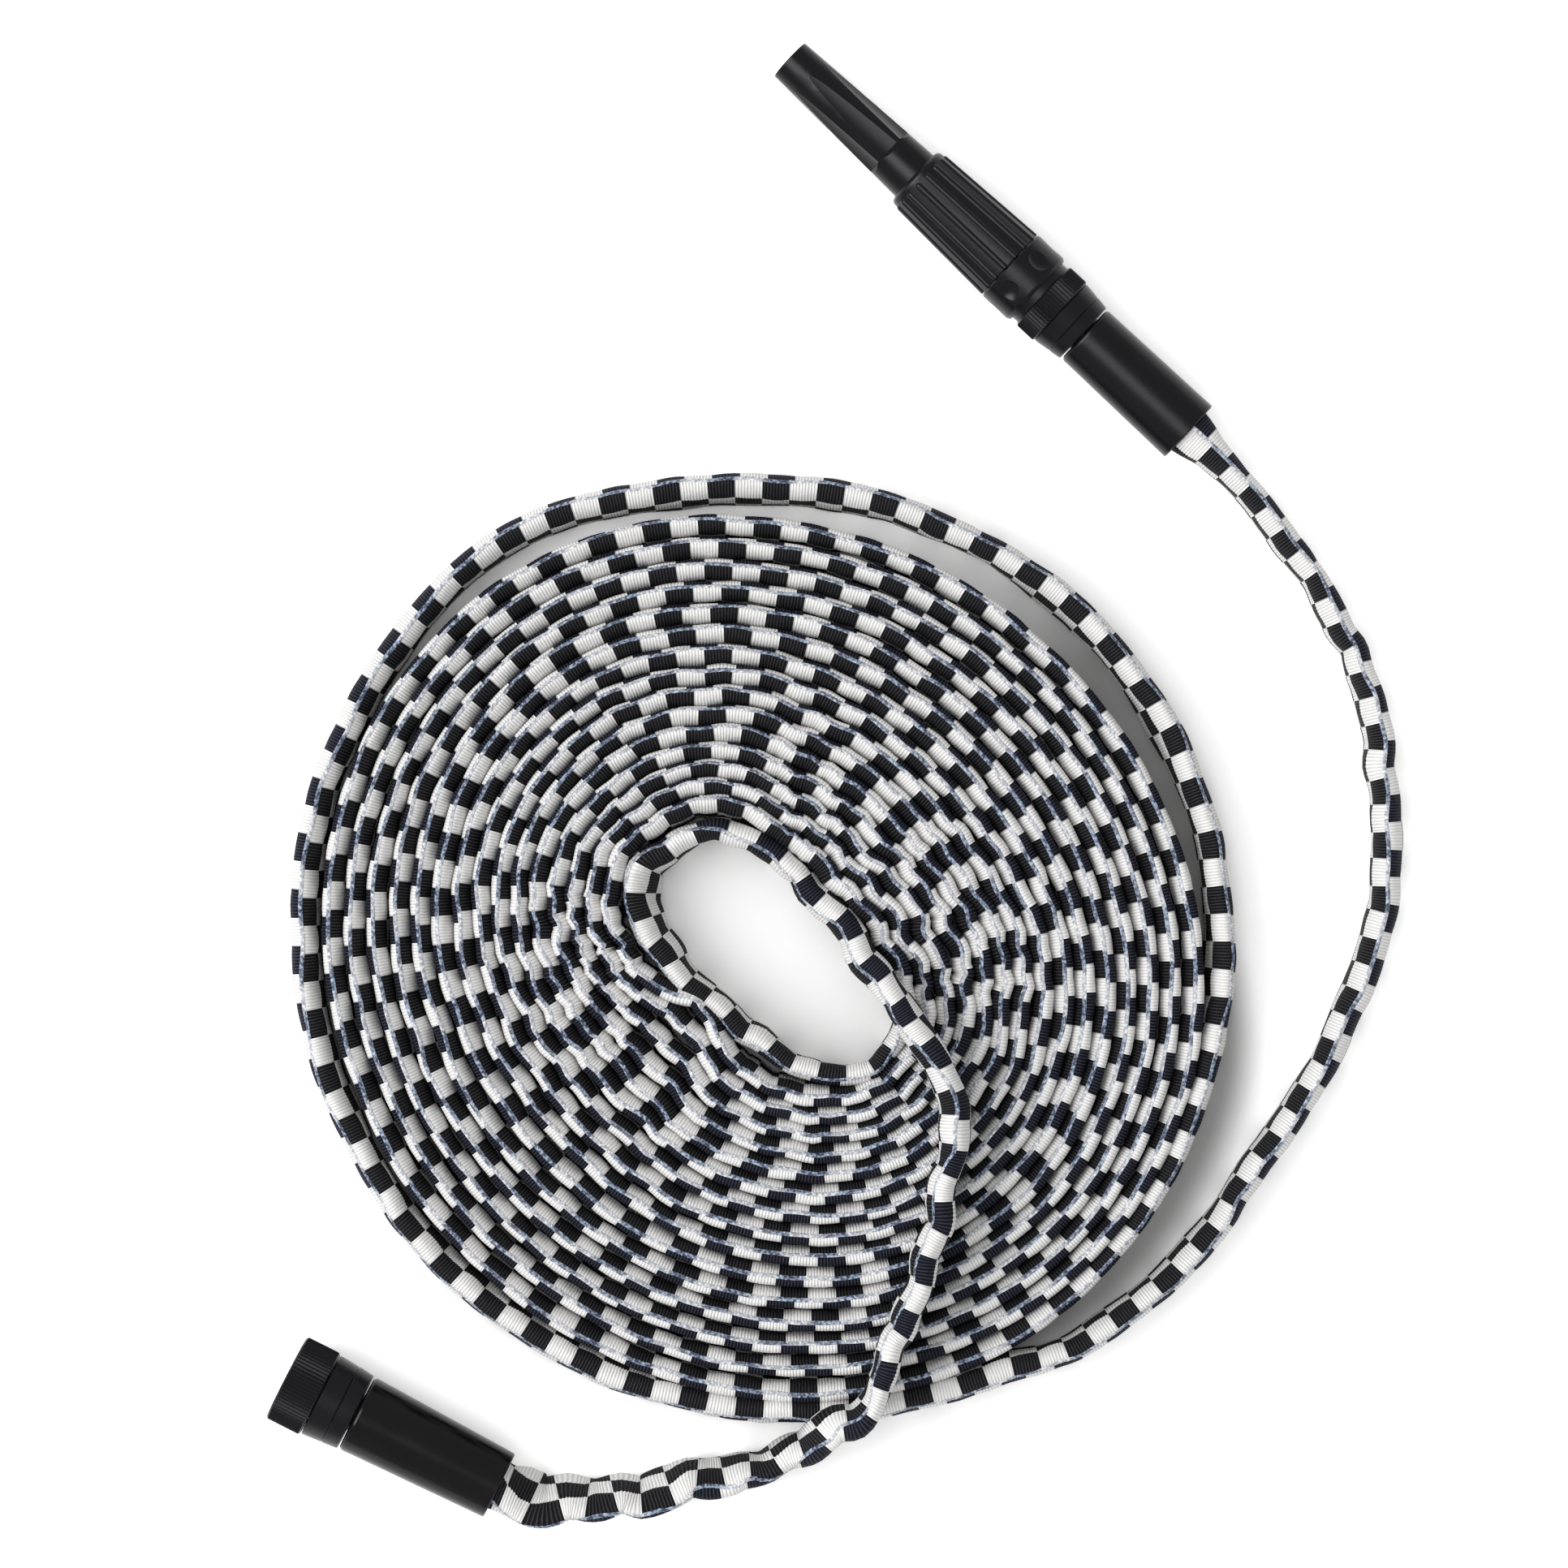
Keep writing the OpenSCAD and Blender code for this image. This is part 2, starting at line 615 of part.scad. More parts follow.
module nozzle_stem() {
    color("#242426") lay_nozzle() difference() {
        union() {
            turned([
                [0, stem_front_z], [stem_front_r, stem_front_z], [stem_front_r, stem_step_z],
                [stem_r, stem_step_z + 1], [stem_r, neck_z], [stem_neck_r, neck_z],
                [stem_neck_r, stem_flange_z], [nut_bore_r - free_gap, stem_flange_z],
                [nut_bore_r - free_gap, nozzle_washer_z], [0, nozzle_washer_z]
            ]);
            for (side = [0, 180])
                rotate([0, 0, side])
                    translate([0, -key_w / 2, neck_z - key_len])
                        cube([stem_r + key_h, key_w, key_len]);
        }
        translate([0, 0, stem_front_z + plug_len])
            cylinder(r = stem_bore_r, h = nozzle_washer_z, $fn = round_fn);
        translate([0, 0, stem_front_z - cut])
            cylinder(r = pin_shank_r + seat_gap, h = plug_len + 2 * cut, $fn = round_fn);
        for (side = [0:90:270])
            rotate([0, 0, side + 45])
                translate([0, 0, port_z])
                    rotate([0, 90, 0])
                        cylinder(r = port_r, h = stem_r + cut, $fn = 32);
        translate([0, 0, seal_z - seal_w / 2])
            tube(stem_r + cut, seal_major_r - seal_r - seat_gap, 0, seal_w);
    }
}

module bearing_ring() {
    color("#303033") lay_nozzle() difference() {
        tube(bearing_r, stem_neck_r + seat_gap, bearing_z, bearing_len);
        tube(bearing_r + cut, clip_root_r, clip_z, clip_t);
    }
}
module grip_clip() {
    opening_w = 5;
    color("silver") lay_nozzle() difference() {
        tube(clip_r, clip_root_r + seat_gap, clip_z + seat_gap, clip_t - 2 * seat_gap);
        translate([0, -opening_w / 2, clip_z - cut])
            cube([clip_r + cut, opening_w, clip_t + 2 * cut]);
    }
}

// twist grip: ribbed outside, with a close throat, a drive bore and a bearing inside
module grip_sleeve() {
    nose = 2;
    slope = atan((grip_r2 - grip_r) / grip_len);
    rib_start = 4.2;
    throat_r = barrel_r + free_gap;
    step_z = bearing_z - free_gap;
    groove_r = clip_r + run_gap;
    back_z = grip_z + grip_len;
    color("#202022") lay_nozzle() difference() {
        union() {
            turned(concat(
                [[0, grip_z]],
                arc(grip_r - nose, grip_z + nose, nose, -90, 0),
                [[grip_r2, back_z], [0, back_z]]
            ));
            intersection() {
                for (i = [0:grip_ribs - 1])
                    rotate([0, 0, (i + 0.5) * 360 / grip_ribs])
                        translate([grip_r + rib_rise - rib_r, 0, grip_z + rib_start])
                            rotate([0, slope, 0]) {
                                sphere(r = rib_r, $fn = 32);
                                cylinder(r = rib_r, h = grip_len, $fn = 32);
                            }
                translate([0, 0, grip_z])
                    cylinder(r = grip_r2 + 2 * rib_rise, h = grip_len, $fn = round_fn);
            }
        }
        turned([
            [0, grip_z - cut], [throat_r, grip_z - cut], [throat_r, grip_z + throat_len],
            [drive_bore_r, grip_z + throat_len], [drive_bore_r, step_z],
            [bearing_r + run_gap, step_z], [bearing_r + run_gap, clip_z - run_gap],
            [groove_r, clip_z - run_gap], [groove_r, clip_z + clip_t + run_gap],
            [bearing_r + run_gap, clip_z + clip_t + run_gap],
            [bearing_r + run_gap, back_z + cut], [0, back_z + cut]
        ]);
    }
}

// barrel: scooped flats outside, valve seat and bore inside, key slots at the back
module nozzle_barrel() {
    tip_round = 0.7;
    mouth_r = tip_r - 2.2;
    scoop_end = barrel_show - scoop_back;
    lead_out = 3;
    scoop_front = tip_round + 1;
    slot_z = neck_z - key_len - barrel_travel - 1;
    color("#1e1e20") lay_nozzle() difference() {
        turned(concat(
            [[0, 0]],
            arc(tip_r - tip_round, tip_round, tip_round, -90, 0),
            [
                [barrel_r, barrel_show], [barrel_r, thread_front_z],
                [drive_thread_r, thread_front_z + 1], [drive_thread_r, barrel_len],
                [0, barrel_len]
            ]
        ));
        turned([
            [0, -cut], [mouth_r, -cut], [mouth_r, 0.8], [orifice_r, 4], [orifice_r, seat_depth],
            [barrel_bore_r, seat_depth + seat_len], [barrel_bore_r, barrel_len + cut],
            [0, barrel_len + cut]
        ]);
        for (i = [0:scoops - 1])
            rotate([0, 0, i * 360 / scoops])
                translate([scoop_floor + scoop_cutter, 0, 0])
                    turned([
                        [0, scoop_front], [scoop_cutter, scoop_front], [scoop_cutter, scoop_end],
                        [scoop_cutter - lead_out, scoop_end + lead_out], [0, scoop_end + lead_out]
                    ]);
        for (side = [0, 180])
            rotate([0, 0, side])
                translate([0, -key_w / 2 - run_gap, slot_z])
                    cube([stem_r + key_h + free_gap, key_w + 2 * run_gap, barrel_len]);
    }
}
module valve_pin() {
    seat_slope = (barrel_bore_r - orifice_r) / seat_len;
    seat_back = 2 * free_gap;
    head_z = seat_depth + seat_back + 0.5;
    head_len = seat_len - 1.6;
    head_r = orifice_r + seat_slope * 0.5;
    head_r2 = head_r + seat_slope * head_len;
    pintle_r = orifice_r - 1.1;
    pintle_len = 8;
    pintle_z = seat_depth - pintle_len;
    pintle_lead = 2;
    pintle_taper = 0.4;
    color("#c9a24a") lay_nozzle()
        turned([
            [0, pintle_z], [pintle_r - pintle_taper, pintle_z], [pintle_r, pintle_z + pintle_lead],
            [pintle_r, head_z], [head_r, head_z], [head_r2, head_z + head_len],
            [pin_shank_r, head_z + head_len + 1.5], [pin_shank_r, stem_front_z + plug_len - 1],
            [0, stem_front_z + plug_len - 1]
        ]);
}
module stem_seal() {
    color("#101010") lay_nozzle()
        translate([0, 0, seal_z])
            rotate_extrude($fn = round_fn)
                translate([seal_major_r, 0])
                    circle(r = seal_r, $fn = 32);
}

tap_nut();
tap_washer();
tap_tailpiece();
tap_collar();
tap_ferrule();
tap_sleeve();
tap_liner_end();
tap_jacket_end();
hose_tap_tail();
hose_coil();
hose_nozzle_tail();
outlet_jacket_end();
outlet_liner_end();
outlet_ferrule();
outlet_sleeve();
outlet_collar();
outlet_coupling();
nozzle_nut();
nozzle_washer();
nozzle_stem();
bearing_ring();
grip_clip();
grip_sleeve();
nozzle_barrel();
valve_pin();
stem_seal();
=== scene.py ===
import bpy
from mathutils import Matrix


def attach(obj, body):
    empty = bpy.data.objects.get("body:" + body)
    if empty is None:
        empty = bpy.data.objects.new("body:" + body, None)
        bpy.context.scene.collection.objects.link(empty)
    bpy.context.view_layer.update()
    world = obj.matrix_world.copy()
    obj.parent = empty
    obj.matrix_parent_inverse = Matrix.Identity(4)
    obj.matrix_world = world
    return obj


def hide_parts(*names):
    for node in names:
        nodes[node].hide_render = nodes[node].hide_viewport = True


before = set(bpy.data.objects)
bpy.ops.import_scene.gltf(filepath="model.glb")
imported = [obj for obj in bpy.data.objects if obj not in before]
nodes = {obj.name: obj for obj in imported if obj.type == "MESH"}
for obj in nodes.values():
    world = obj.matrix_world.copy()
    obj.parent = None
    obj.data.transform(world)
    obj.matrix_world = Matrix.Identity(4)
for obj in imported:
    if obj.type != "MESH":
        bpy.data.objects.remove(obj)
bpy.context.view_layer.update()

import math
from bisect import bisect
from collections import namedtuple
import bpy
from mathutils import Vector, noise

mm = 0.001
scene = bpy.context.scene
print("frame loaded:", len(nodes), "nodes")


# ---- camera: straight above, from far away ----

camera = {
    "middle": (0.0172, -0.0021),   # point of the floor in the frame's middle
    "width": 0.5784,               # width of floor in the frame
    "level": 0.014,                # height at which that width is meant
    "above": 3.0,
    "sensor": 36.0,
    "near": 0.1,
    "far": 20.0,
}


def makeCamera(c):
    data = bpy.data.cameras.new("overheadCamera")
    data.sensor_width = c["sensor"]
    data.lens = c["sensor"] * (c["above"] - c["level"]) / c["width"]
    data.clip_start = c["near"]
    data.clip_end = c["far"]
    camObject = bpy.data.objects.new("overheadCamera", data)
    camObject.location = (c["middle"][0], c["middle"][1], c["above"])
    scene.collection.objects.link(camObject)
    scene.camera = camObject


makeCamera(camera)


# ---- small helpers for meshes and node trees ----

def meshObject(name, verts, faces, smooth=True):
    mesh = bpy.data.meshes.new(name)
    mesh.from_pydata(verts, [], faces)
    mesh.update()
    if smooth:
        mesh.polygons.foreach_set("use_smooth", [True] * len(mesh.polygons))
    made = bpy.data.objects.new(name, mesh)
    scene.collection.objects.link(made)
    return made


def blend(a, b, f):
    return a + (b - a) * f


def ease(x, start, end):
    f = min(max((x - start) / (end - start), 0.0), 1.0)
    return f * f * (3 - 2 * f)


def wobble(x, y, z, seed):
    return noise.noise(Vector((x + seed * 17.3, y - seed * 9.1, z + seed * 3.7)))


class NodeKit:
    # short hands for wiring a material's or a geometry tree's nodes
    def __init__(self, tree):
        self.tree = tree

    def add(self, kind, **settings):
        node = self.tree.nodes.new(kind)
        for key, value in settings.items():
            setattr(node, key, value)
        return node

    def link(self, source, target):
        self.tree.links.new(source, target)

    def put(self, socket, value):
        if isinstance(value, bpy.types.NodeSocket):
            self.link(value, socket)
        elif value is not None:
            socket.default_value = value

    def math(self, operation, a, b=None, c=None):
        node = self.add("ShaderNodeMath", operation=operation)
        for socket, value in zip(node.inputs, (a, b, c)):
            self.put(socket, value)
        return node.outputs[0]

    def mix(self, factor, a, b):
        node = self.add("ShaderNodeMix", data_type="RGBA")
        self.put(node.inputs["Factor"], factor)
        for socket, value in zip((node.inputs[6], node.inputs[7]), (a, b)):
            self.put(socket, value if isinstance(value, bpy.types.NodeSocket) else (*value, 1))
        return node.outputs[2]

    def noise(self, scale):
        # a noise fixed to the object
        node = self.add("ShaderNodeTexNoise")
        self.link(self.add("ShaderNodeTexCoord").outputs["Object"], node.inputs["Vector"])
        node.inputs["Scale"].default_value = scale
        return node.outputs[0]

    def share(self, value, limits, **settings):
        # 0 to 1 where a value runs from the first limit to the second
        node = self.add("ShaderNodeMapRange", **settings)
        self.put(node.inputs["Value"], value)
        node.inputs["From Min"].default_value, node.inputs["From Max"].default_value = limits
        return node.outputs[0]

    def towards(self, direction, side):
        # how far a direction points to a side
        node = self.add("ShaderNodeVectorMath", operation="DOT_PRODUCT")
        self.link(direction, node.inputs[0])
        node.inputs[1].default_value = side
        return node.outputs["Value"]

    def bump(self, height, strength, distance):
        node = self.add("ShaderNodeBump")
        node.inputs["Strength"].default_value = strength
        node.inputs["Distance"].default_value = distance
        self.link(height, node.inputs["Height"])
        return node.outputs[0]


def newMaterial(name):
    material = bpy.data.materials.new(name)
    material.use_nodes = True
    kit = NodeKit(material.node_tree)
    shader = material.node_tree.nodes["Principled BSDF"]
    return material, kit, shader


# ---- hose: one flat woven tube, laid along its whole way on its edge ----

hose = {
    "round": 20.4,          # mm over the jacket when round
    "rows": 6,              # rows of checks round the jacket
    "check": (10.0, 10.15, 10.3),   # mm long: towards the nozzle, in the loose turn, where packed
    "ringsPerCheck": 4,     # rings of the mesh
    "capSides": 12,         # faces over the upper edge
    "flankSides": 2,
    "footSides": 4,
    "ridge": 2.2,           # rise of the flattened hose's upper edge, in half widths
    "ridgeUntil": (11.4, 15.0),     # widths from which that edge rounds off, and is round
    "coilTop": 27.7,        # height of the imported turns
    "fin": 0.42,            # slope of a packed turn's top, up towards its outer side
    # turn of the coil, and by how many checks the rows on the seam's two sides are out of step
    "slip": ((-0.3, 0.3), (0.0, 0.42), (0.35, 0.72), (0.83, 0.92), (1.34, 1.25), (4.5, 2.3),
             (16.0, 6.8)),
    "firstCheck": 1.88,     # where the first check begins, in checks
    # turn of the coil, and how many checks the pattern runs ahead there
    "ahead": ((-0.15, 0.1), (-0.05, -0.17), (0.19, -0.64), (0.4, -0.96), (0.52, -0.92),
              (0.72, -0.7), (0.8, -0.7), (1.36, -1.0), (1.75, -0.68), (2.4, -1.16), (2.8, -1.08),
              (16.1, -1.08), (16.21, -0.98), (16.3, -0.78), (16.42, -0.44), (16.66, -0.86),
              (16.76, -0.74), (16.85, -0.58), (16.89, -0.42), (16.91, -0.2), (16.95, -0.1)),
    "puff": 0.45,           # mm that a check swells
    "puffPower": 0.7,       # how full its middle is
    "puffLevel": 0.6,       # share of the swelling that lies inside the section
    "puffRows": (1.6, 0.6),     # rows from the seam where it ends, and over how many
    "lipPuff": 0.4,         # share of it on the lip's side of the seam
    "seamDip": 0.3,         # mm
    "seamDipWidth": 0.9,
}
girth = math.pi * hose["round"]
rowWidth = girth / hose["rows"]

coil = {
    "centre": (10.0, -62.0),
    "firstDirection": 300.0,    # degrees, where the outermost turn begins
    "turns": 15.94,
    "looseUntil": 0.8,          # turns after which the loose turn closes in
    "packedFrom": 1.15,         # turns after which the hose lies packed
    # turns over which these change from loose to packed
    "widthCloses": (0.75, 1.1),
    "leanCloses": (0.8, 1.1),
    "seamCloses": (0.95, 1.1),
    "firstRadius": 160.9,       # mean radius where packing begins
    "lastRadius": 47.0,
    "sag": -3.3,                # how far the mean radius falls short of a straight line half way
    "oval": (7.2, 12.8),        # at the first and the last packed turn
    "ovalDirection": 138.5,
    "shift": (2.2, 0.4),        # away from the oval's direction
    "looseRadius": 168.3,       # outermost turn
    "bulge": (9.3, 124.5, 19.0),    # how far out, in which direction, over how many degrees
    "shoulder": (4.0, 157.0, 19.0),
    "dent": (-3.3, 229.0, 30.0),
    "swell": (2.1, 226.0, 34.0),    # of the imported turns, less and less inwards
    "tuck": (-7.2, 228.0, 32.0),    # of the innermost packed turns
    "fill": (-4.0, 358.0, 24.0),
    "join": (11.0, 0.05, 1.3),  # mm out where the nozzle's stretch joins, turns, power
    "looseWidth": ((0.0, 11.2), (0.17, 11.2), (0.27, 9.7), (1.0, 9.7)),     # by turns
    "packedWidth": 7.3,
    "packedShare": 0.97,        # of the room between two turns
    "looseLean": (3.5, 4.0),    # degrees, where the turn begins, and along the open gap
    "packedLean": 6.0,
    "openSide": (0.24, 0.36),   # turns over which the gap opens
    # the seam's place round the top, + outwards: by turns where loose, by degrees where packed
    "looseSeam": ((0.0, 4.6), (0.15, 5.0), (0.21, 4.3), (0.264, 3.5), (0.29, 2.4), (0.328, 0.6),
                  (0.36, -0.3), (0.403, -0.9), (0.44, -0.6), (0.49, 1.1), (0.53, 2.4), (0.57, 1.4),
                  (0.62, 2.6), (0.83, 2.7), (0.96, 0.3), (1.1, 0.2)),
    "packedSeam": ((0, -0.5), (45, 0.2), (95, 2.0), (140, 1.0), (200, 0.0), (250, -0.2),
                   (300, -1.3), (335, -1.1), (360, -0.5)),
}

# stations of the free stretches: x, y, how far up on the coil, thickness, lean of the
# top towards the left of the way, and the seam's place round the top, + to the left
nozzleWay = [
    (157.6, 136.0, 0.186, 20.0, 0, 1.6), (166.4, 127.8, 0.17, 18.5, 0, 1.6),
    (175.6, 119.3, 0.09, 12.6, 0, 1.6), (184.4, 110.0, 0.03, 9.6, 1, 1.6),
    (193.0, 100.5, 0.0, 9.4, 2, 1.3), (205.5, 83.0, 0, 9.4, 2, 1.2),
    (213.5, 71.0, 0, 9.6, 2, 1.0), (222.0, 56.6, 0, 9.8, 2, 0.8),
    (230.5, 38.6, 0, 10.2, 2, 0.4), (235.2, 20.6, 0, 10.5, 2, 0.3),
    (238.6, -4.0, 0, 11.0, 2, 0.2), (239.4, -24.3, 0, 11.3, 2, 0.2),
    (238.4, -42.2, 0, 11.4, 2, 0.2), (234.9, -60.2, 0, 11.1, 2, 0.2),
    (228.6, -78.2, 0, 11.0, 3, 0.3), (217.0, -104.0, 0, 10.8, 4, 0.6),
    (205.4, -122.8, 0, 10.0, 4, 1.0), (193.0, -141.0, 0, 9.6, 3, 1.2),
    (181.6, -158.0, 0, 9.4, 2, 1.3), (168.4, -174.3, 0, 9.3, 2, 1.6),
    (153.2, -189.0, 0, 9.3, 2, 2.0), (135.0, -202.6, 0, 9.4, 3, 2.6),
    (114.6, -213.8, 0, 9.6, 6, 3.2),
]
# the innermost turn, lying loose in the opening, then the stretch over the coil
innerWay = [
    (53.0, -105.2, 0, 8.1, 0, 3.2), (43.2, -109.3, 0, 7.4, 0, 2.8), (34.5, -109.0, 0, 7.4, 0, 2.8),
    (26.0, -107.5, 0, 8.0, 0, 3.0), (19.3, -104.5, 0, 8.4, 1, 3.2), (13.5, -100.1, 0, 8.6, 2, 3.2),
    (8.0, -95.8, 0, 8.8, 3, 3.2), (1.5, -93.0, 0, 9.0, 3, 3.2), (-2.5, -88.4, 0, 8.6, 1, 3.2),
    (-6.8, -83.8, 0, 8.5, 0, 3.2), (-13.0, -79.1, 0, 9.0, 3, 3.2), (-20.1, -73.2, 0, 9.6, 7, 3.4),
    (-24.5, -65.9, 0, 10.0, 14, 3.0), (-30.4, -58.1, 0, 9.6, 12, 3.0),
    (-33.9, -50.0, 0, 9.6, 17, 2.6), (-35.2, -42.0, 0, 9.6, 19, 2.5),
    (-34.6, -35.0, 0, 9.6, 18, 2.5), (-32.0, -30.3, 0, 9.6, 9, 3.4),
    (-26.0, -26.3, 0, 9.8, 2, 4.2), (-20.2, -22.4, 0, 9.6, 2, 3.9), (-14.3, -19.5, 0, 8.4, 0, 2.6),
    (-8.0, -19.3, 0, 8.2, 0, -0.4), (-1.0, -21.0, 0, 9.0, 0, -1.2), (6.0, -22.8, 0, 8.8, 0, -1.0),
    (11.8, -26.2, 0, 9.4, 0, -1.4), (18.0, -30.8, 0, 9.6, 0, -3.0), (22.5, -35.5, 0, 10.0, 0, -4.0),
    (26.5, -41.2, 0.01, 11.2, 0, -5.0), (32.0, -47.0, 0.05, 11.4, 0, -4.2),
    (39.2, -52.6, 0.15, 10.4, 0, -2.6), (43.2, -59.3, 0.3, 11.0, 0, -4.0),
    (46.6, -66.6, 0.48, 11.4, 0, -4.4), (53.0, -73.0, 0.7, 11.2, 0, -2.6),
    (57.7, -79.6, 0.88, 9.6, 0, -3.2), (61.8, -86.3, 1.0, 11.2, 0, -5.4),
    (66.5, -93.3, 1.04, 10.6, 0, -4.6), (71.2, -99.8, 1.04, 10.4, 0, -3.6),
    (73.6, -105.0, 1.03, 11.0, 0, -2.6), (75.6, -109.8, 1.03, 10.0, 0, -1.4),
    (78.2, -115.4, 1.03, 9.8, 0, -0.3), (79.8, -121.5, 1.03, 10.6, 0, -0.4),
    (79.7, -128.0, 1.02, 11.0, 0, -0.4), (78.9, -135.0, 1.02, 9.6, 2, -0.3),
    (77.9, -141.5, 1.02, 8.8, 3, -3.8), (75.8, -148.0, 1.01, 9.6, 2, -4.5),
    (74.8, -156.0, 1.0, 9.9, 2, -5.1), (74.5, -163.0, 1.0, 9.4, 2, -6.3),
    (71.4, -169.3, 1.0, 9.8, 2, -4.9), (69.0, -175.0, 1.0, 9.6, 2, -5.1),
    (68.3, -181.2, 1.0, 9.4, 2, -6.6), (66.9, -186.4, 1.0, 9.4, 2, -6.3),
    (63.7, -190.8, 1.0, 10.0, 2, -4.9), (62.1, -196.3, 1.0, 9.4, 3, -5.5),
    (60.9, -201.5, 1.0, 9.2, 3, -6.8), (58.2, -206.3, 1.0, 9.8, 2, -6.1),
    (55.8, -211.0, 1.0, 9.8, 2, -5.0), (54.0, -216.5, 1.0, 9.0, 3, -5.9),
    (52.3, -221.5, 1.01, 9.2, 3, -6.5), (50.8, -226.5, 1.0, 9.8, 3, -5.9),
    (47.2, -231.3, 1.0, 10.2, 6, -3.2), (41.5, -235.2, 0.93, 10.0, 12, -3.2),
    (34.5, -239.6, 0.8, 9.6, 14, -2.7), (28.6, -244.3, 0.45, 9.6, 14, -1.8),
    (23.2, -248.9, 0.17, 9.6, 8, 0.6), (17.2, -251.4, 0.04, 9.8, 6, 3.2),
    (9.8, -252.8, 0, 9.8, 8, 3.5), (3.5, -256.0, 0, 9.6, 16, 0.8), (-3.0, -258.1, 0, 9.6, 21, -0.8),
    (-9.5, -257.6, 0, 9.6, 23, -0.6), (-15.0, -258.6, 0, 9.4, 20, 0.3),
    (-21.5, -261.0, 0, 9.4, 20, 0.2), (-29.0, -262.5, 0, 9.4, 23, 0.0),
    (-36.0, -263.6, 0, 9.4, 22, 0.6), (-43.0, -264.2, 0, 9.4, 19, 1.4),
    (-50.0, -265.4, 0, 9.4, 20, 1.6), (-57.0, -266.4, 0, 9.4, 22, 2.6),
    (-64.0, -266.2, 0, 9.8, 25, 2.2),
    (-70.0, -266.8, 0.0, 10.4, 32, 1.8), (-75.0, -266.0, 0.02, 11.4, 38, 2.6),
    (-80.0, -263.6, 0.07, 13.4, 36, 4.0), (-84.4, -262.0, 0.16, 16.6, 20, 5.0),
    (-88.6, -260.2, 0.224, 19.0, 0, 5.6), (-98.4, -255.2, 0.24, 20.0, 0, 6.0),
]


def flankHeight(width):
    # the girth stays, so a thinner hose is a taller one
    return math.pi * (hose["round"] - width) / 2


def restHeight(width, lean):
    # of the section's middle over what the hose stands on
    top = sectionPoint(0, width)[1]
    return (top - width / 2) / 2 * math.cos(math.radians(lean)) + width / 2


def hump(direction, height, middle, spread):
    off = (direction - middle + 180) % 360 - 180
    return height * math.exp(-((off / spread) ** 2))


def readOff(pairs, x):
    # straight lines between pairs
    for (x0, y0), (x1, y1) in zip(pairs, pairs[1:]):
        if x <= x1:
            return blend(y0, y1, max(x - x0, 0) / (x1 - x0))
    return pairs[-1][1]


def turnRadius(t):
    c = coil
    direction = c["firstDirection"] - 360 * t
    share = (t - c["packedFrom"]) / (c["turns"] - c["packedFrom"])
    radius = blend(c["firstRadius"], c["lastRadius"], share) + 4 * c["sag"] * share * (1 - share)
    off = math.radians(direction - c["ovalDirection"])
    radius += blend(*c["oval"], share) * math.cos(2 * off)
    radius -= blend(*c["shift"], share) * math.cos(off)
    radius += hump(direction, *c["swell"]) * ease(share, 0.6, 0)
    radius += (hump(direction, *c["tuck"]) + hump(direction, *c["fill"])) * ease(share, 0.7, 1)
    loose = c["looseRadius"]
    loose += sum(hump(direction, *c[name]) for name in ("bulge", "shoulder", "dent"))
    out, turns, power = c["join"]
    loose += out * math.exp(-((max(t, 0) / turns) ** power))
    return blend(loose, radius, ease(t, c["looseUntil"], c["packedFrom"]))


def coilStation(t):
    c = coil
    direction = math.radians(c["firstDirection"] - 360 * t)
    radius = turnRadius(t)
    room = radius - turnRadius(t + 1)                         # to the next turn inwards
    packed = min(room * c["packedShare"], c["packedWidth"])
    width = blend(readOff(c["looseWidth"], t), packed, ease(t, *c["widthCloses"]))
    looseLean = blend(*c["looseLean"], ease(t, *c["openSide"]))
    lean = blend(looseLean, c["packedLean"], ease(t, *c["leanCloses"]))
    packedSeam = readOff(c["packedSeam"], math.degrees(direction) % 360)
    seam = blend(readOff(c["looseSeam"], t), packedSeam, ease(t, *c["seamCloses"]))
    return (c["centre"][0] + radius * math.cos(direction),
            c["centre"][1] + radius * math.sin(direction), 0, width, lean, seam)


def splineStations(stations, pieces, fineStep=0.8):
    # centripetal curve through the stations, read off at even steps
    points = [Vector(s[:2]) for s in stations]
    count = len(points)
    fine = []
    for i in range(count - 1):
        p = [points[max(i - 1, 0)], points[i], points[i + 1], points[min(i + 2, count - 1)]]
        if i == 0:
            p[0] = 2 * p[1] - p[2]
        if i == count - 2:
            p[3] = 2 * p[2] - p[1]
        knots = [0.0]
        for a, b in zip(p, p[1:]):
            knots.append(knots[-1] + max((b - a).length, 1e-6) ** 0.5)
        steps = max(2, int((p[2] - p[1]).length / fineStep))
        for j in range(steps):
            f = j / steps
            t = blend(knots[1], knots[2], f)
            rows = list(p)
            for level in (1, 2, 3):
                rows = [rows[n] * ((knots[n + level] - t) / (knots[n + level] - knots[n]))
                        + rows[n + 1] * ((t - knots[n]) / (knots[n + level] - knots[n]))
                        for n in range(len(rows) - 1)]
            g = blend(f, ease(f, 0, 1), 0.5)
            rest = [blend(a, b, g) for a, b in zip(stations[i][2:], stations[i + 1][2:])]
            fine.append((rows[0].x, rows[0].y, *rest))
    fine.append(stations[-1])
    lengths = [0.0]
    for a, b in zip(fine, fine[1:]):
        lengths.append(lengths[-1] + math.hypot(b[0] - a[0], b[1] - a[1]))
    total = lengths[-1]
    wanted = int(total / hose["check"][1] * pieces)
    even, at = [], 0
    for i in range(wanted + 1):
        s = total * i / wanted
        while at < len(fine) - 2 and lengths[at + 1] < s:
            at += 1
        span = max(lengths[at + 1] - lengths[at], 1e-9)
        f = (s - lengths[at]) / span
        even.append(tuple(blend(a, b, f) for a, b in zip(fine[at], fine[at + 1])))
    return even, total


Station = namedtuple("Station", "x y level width lean seam fin lift along checks slip packed")

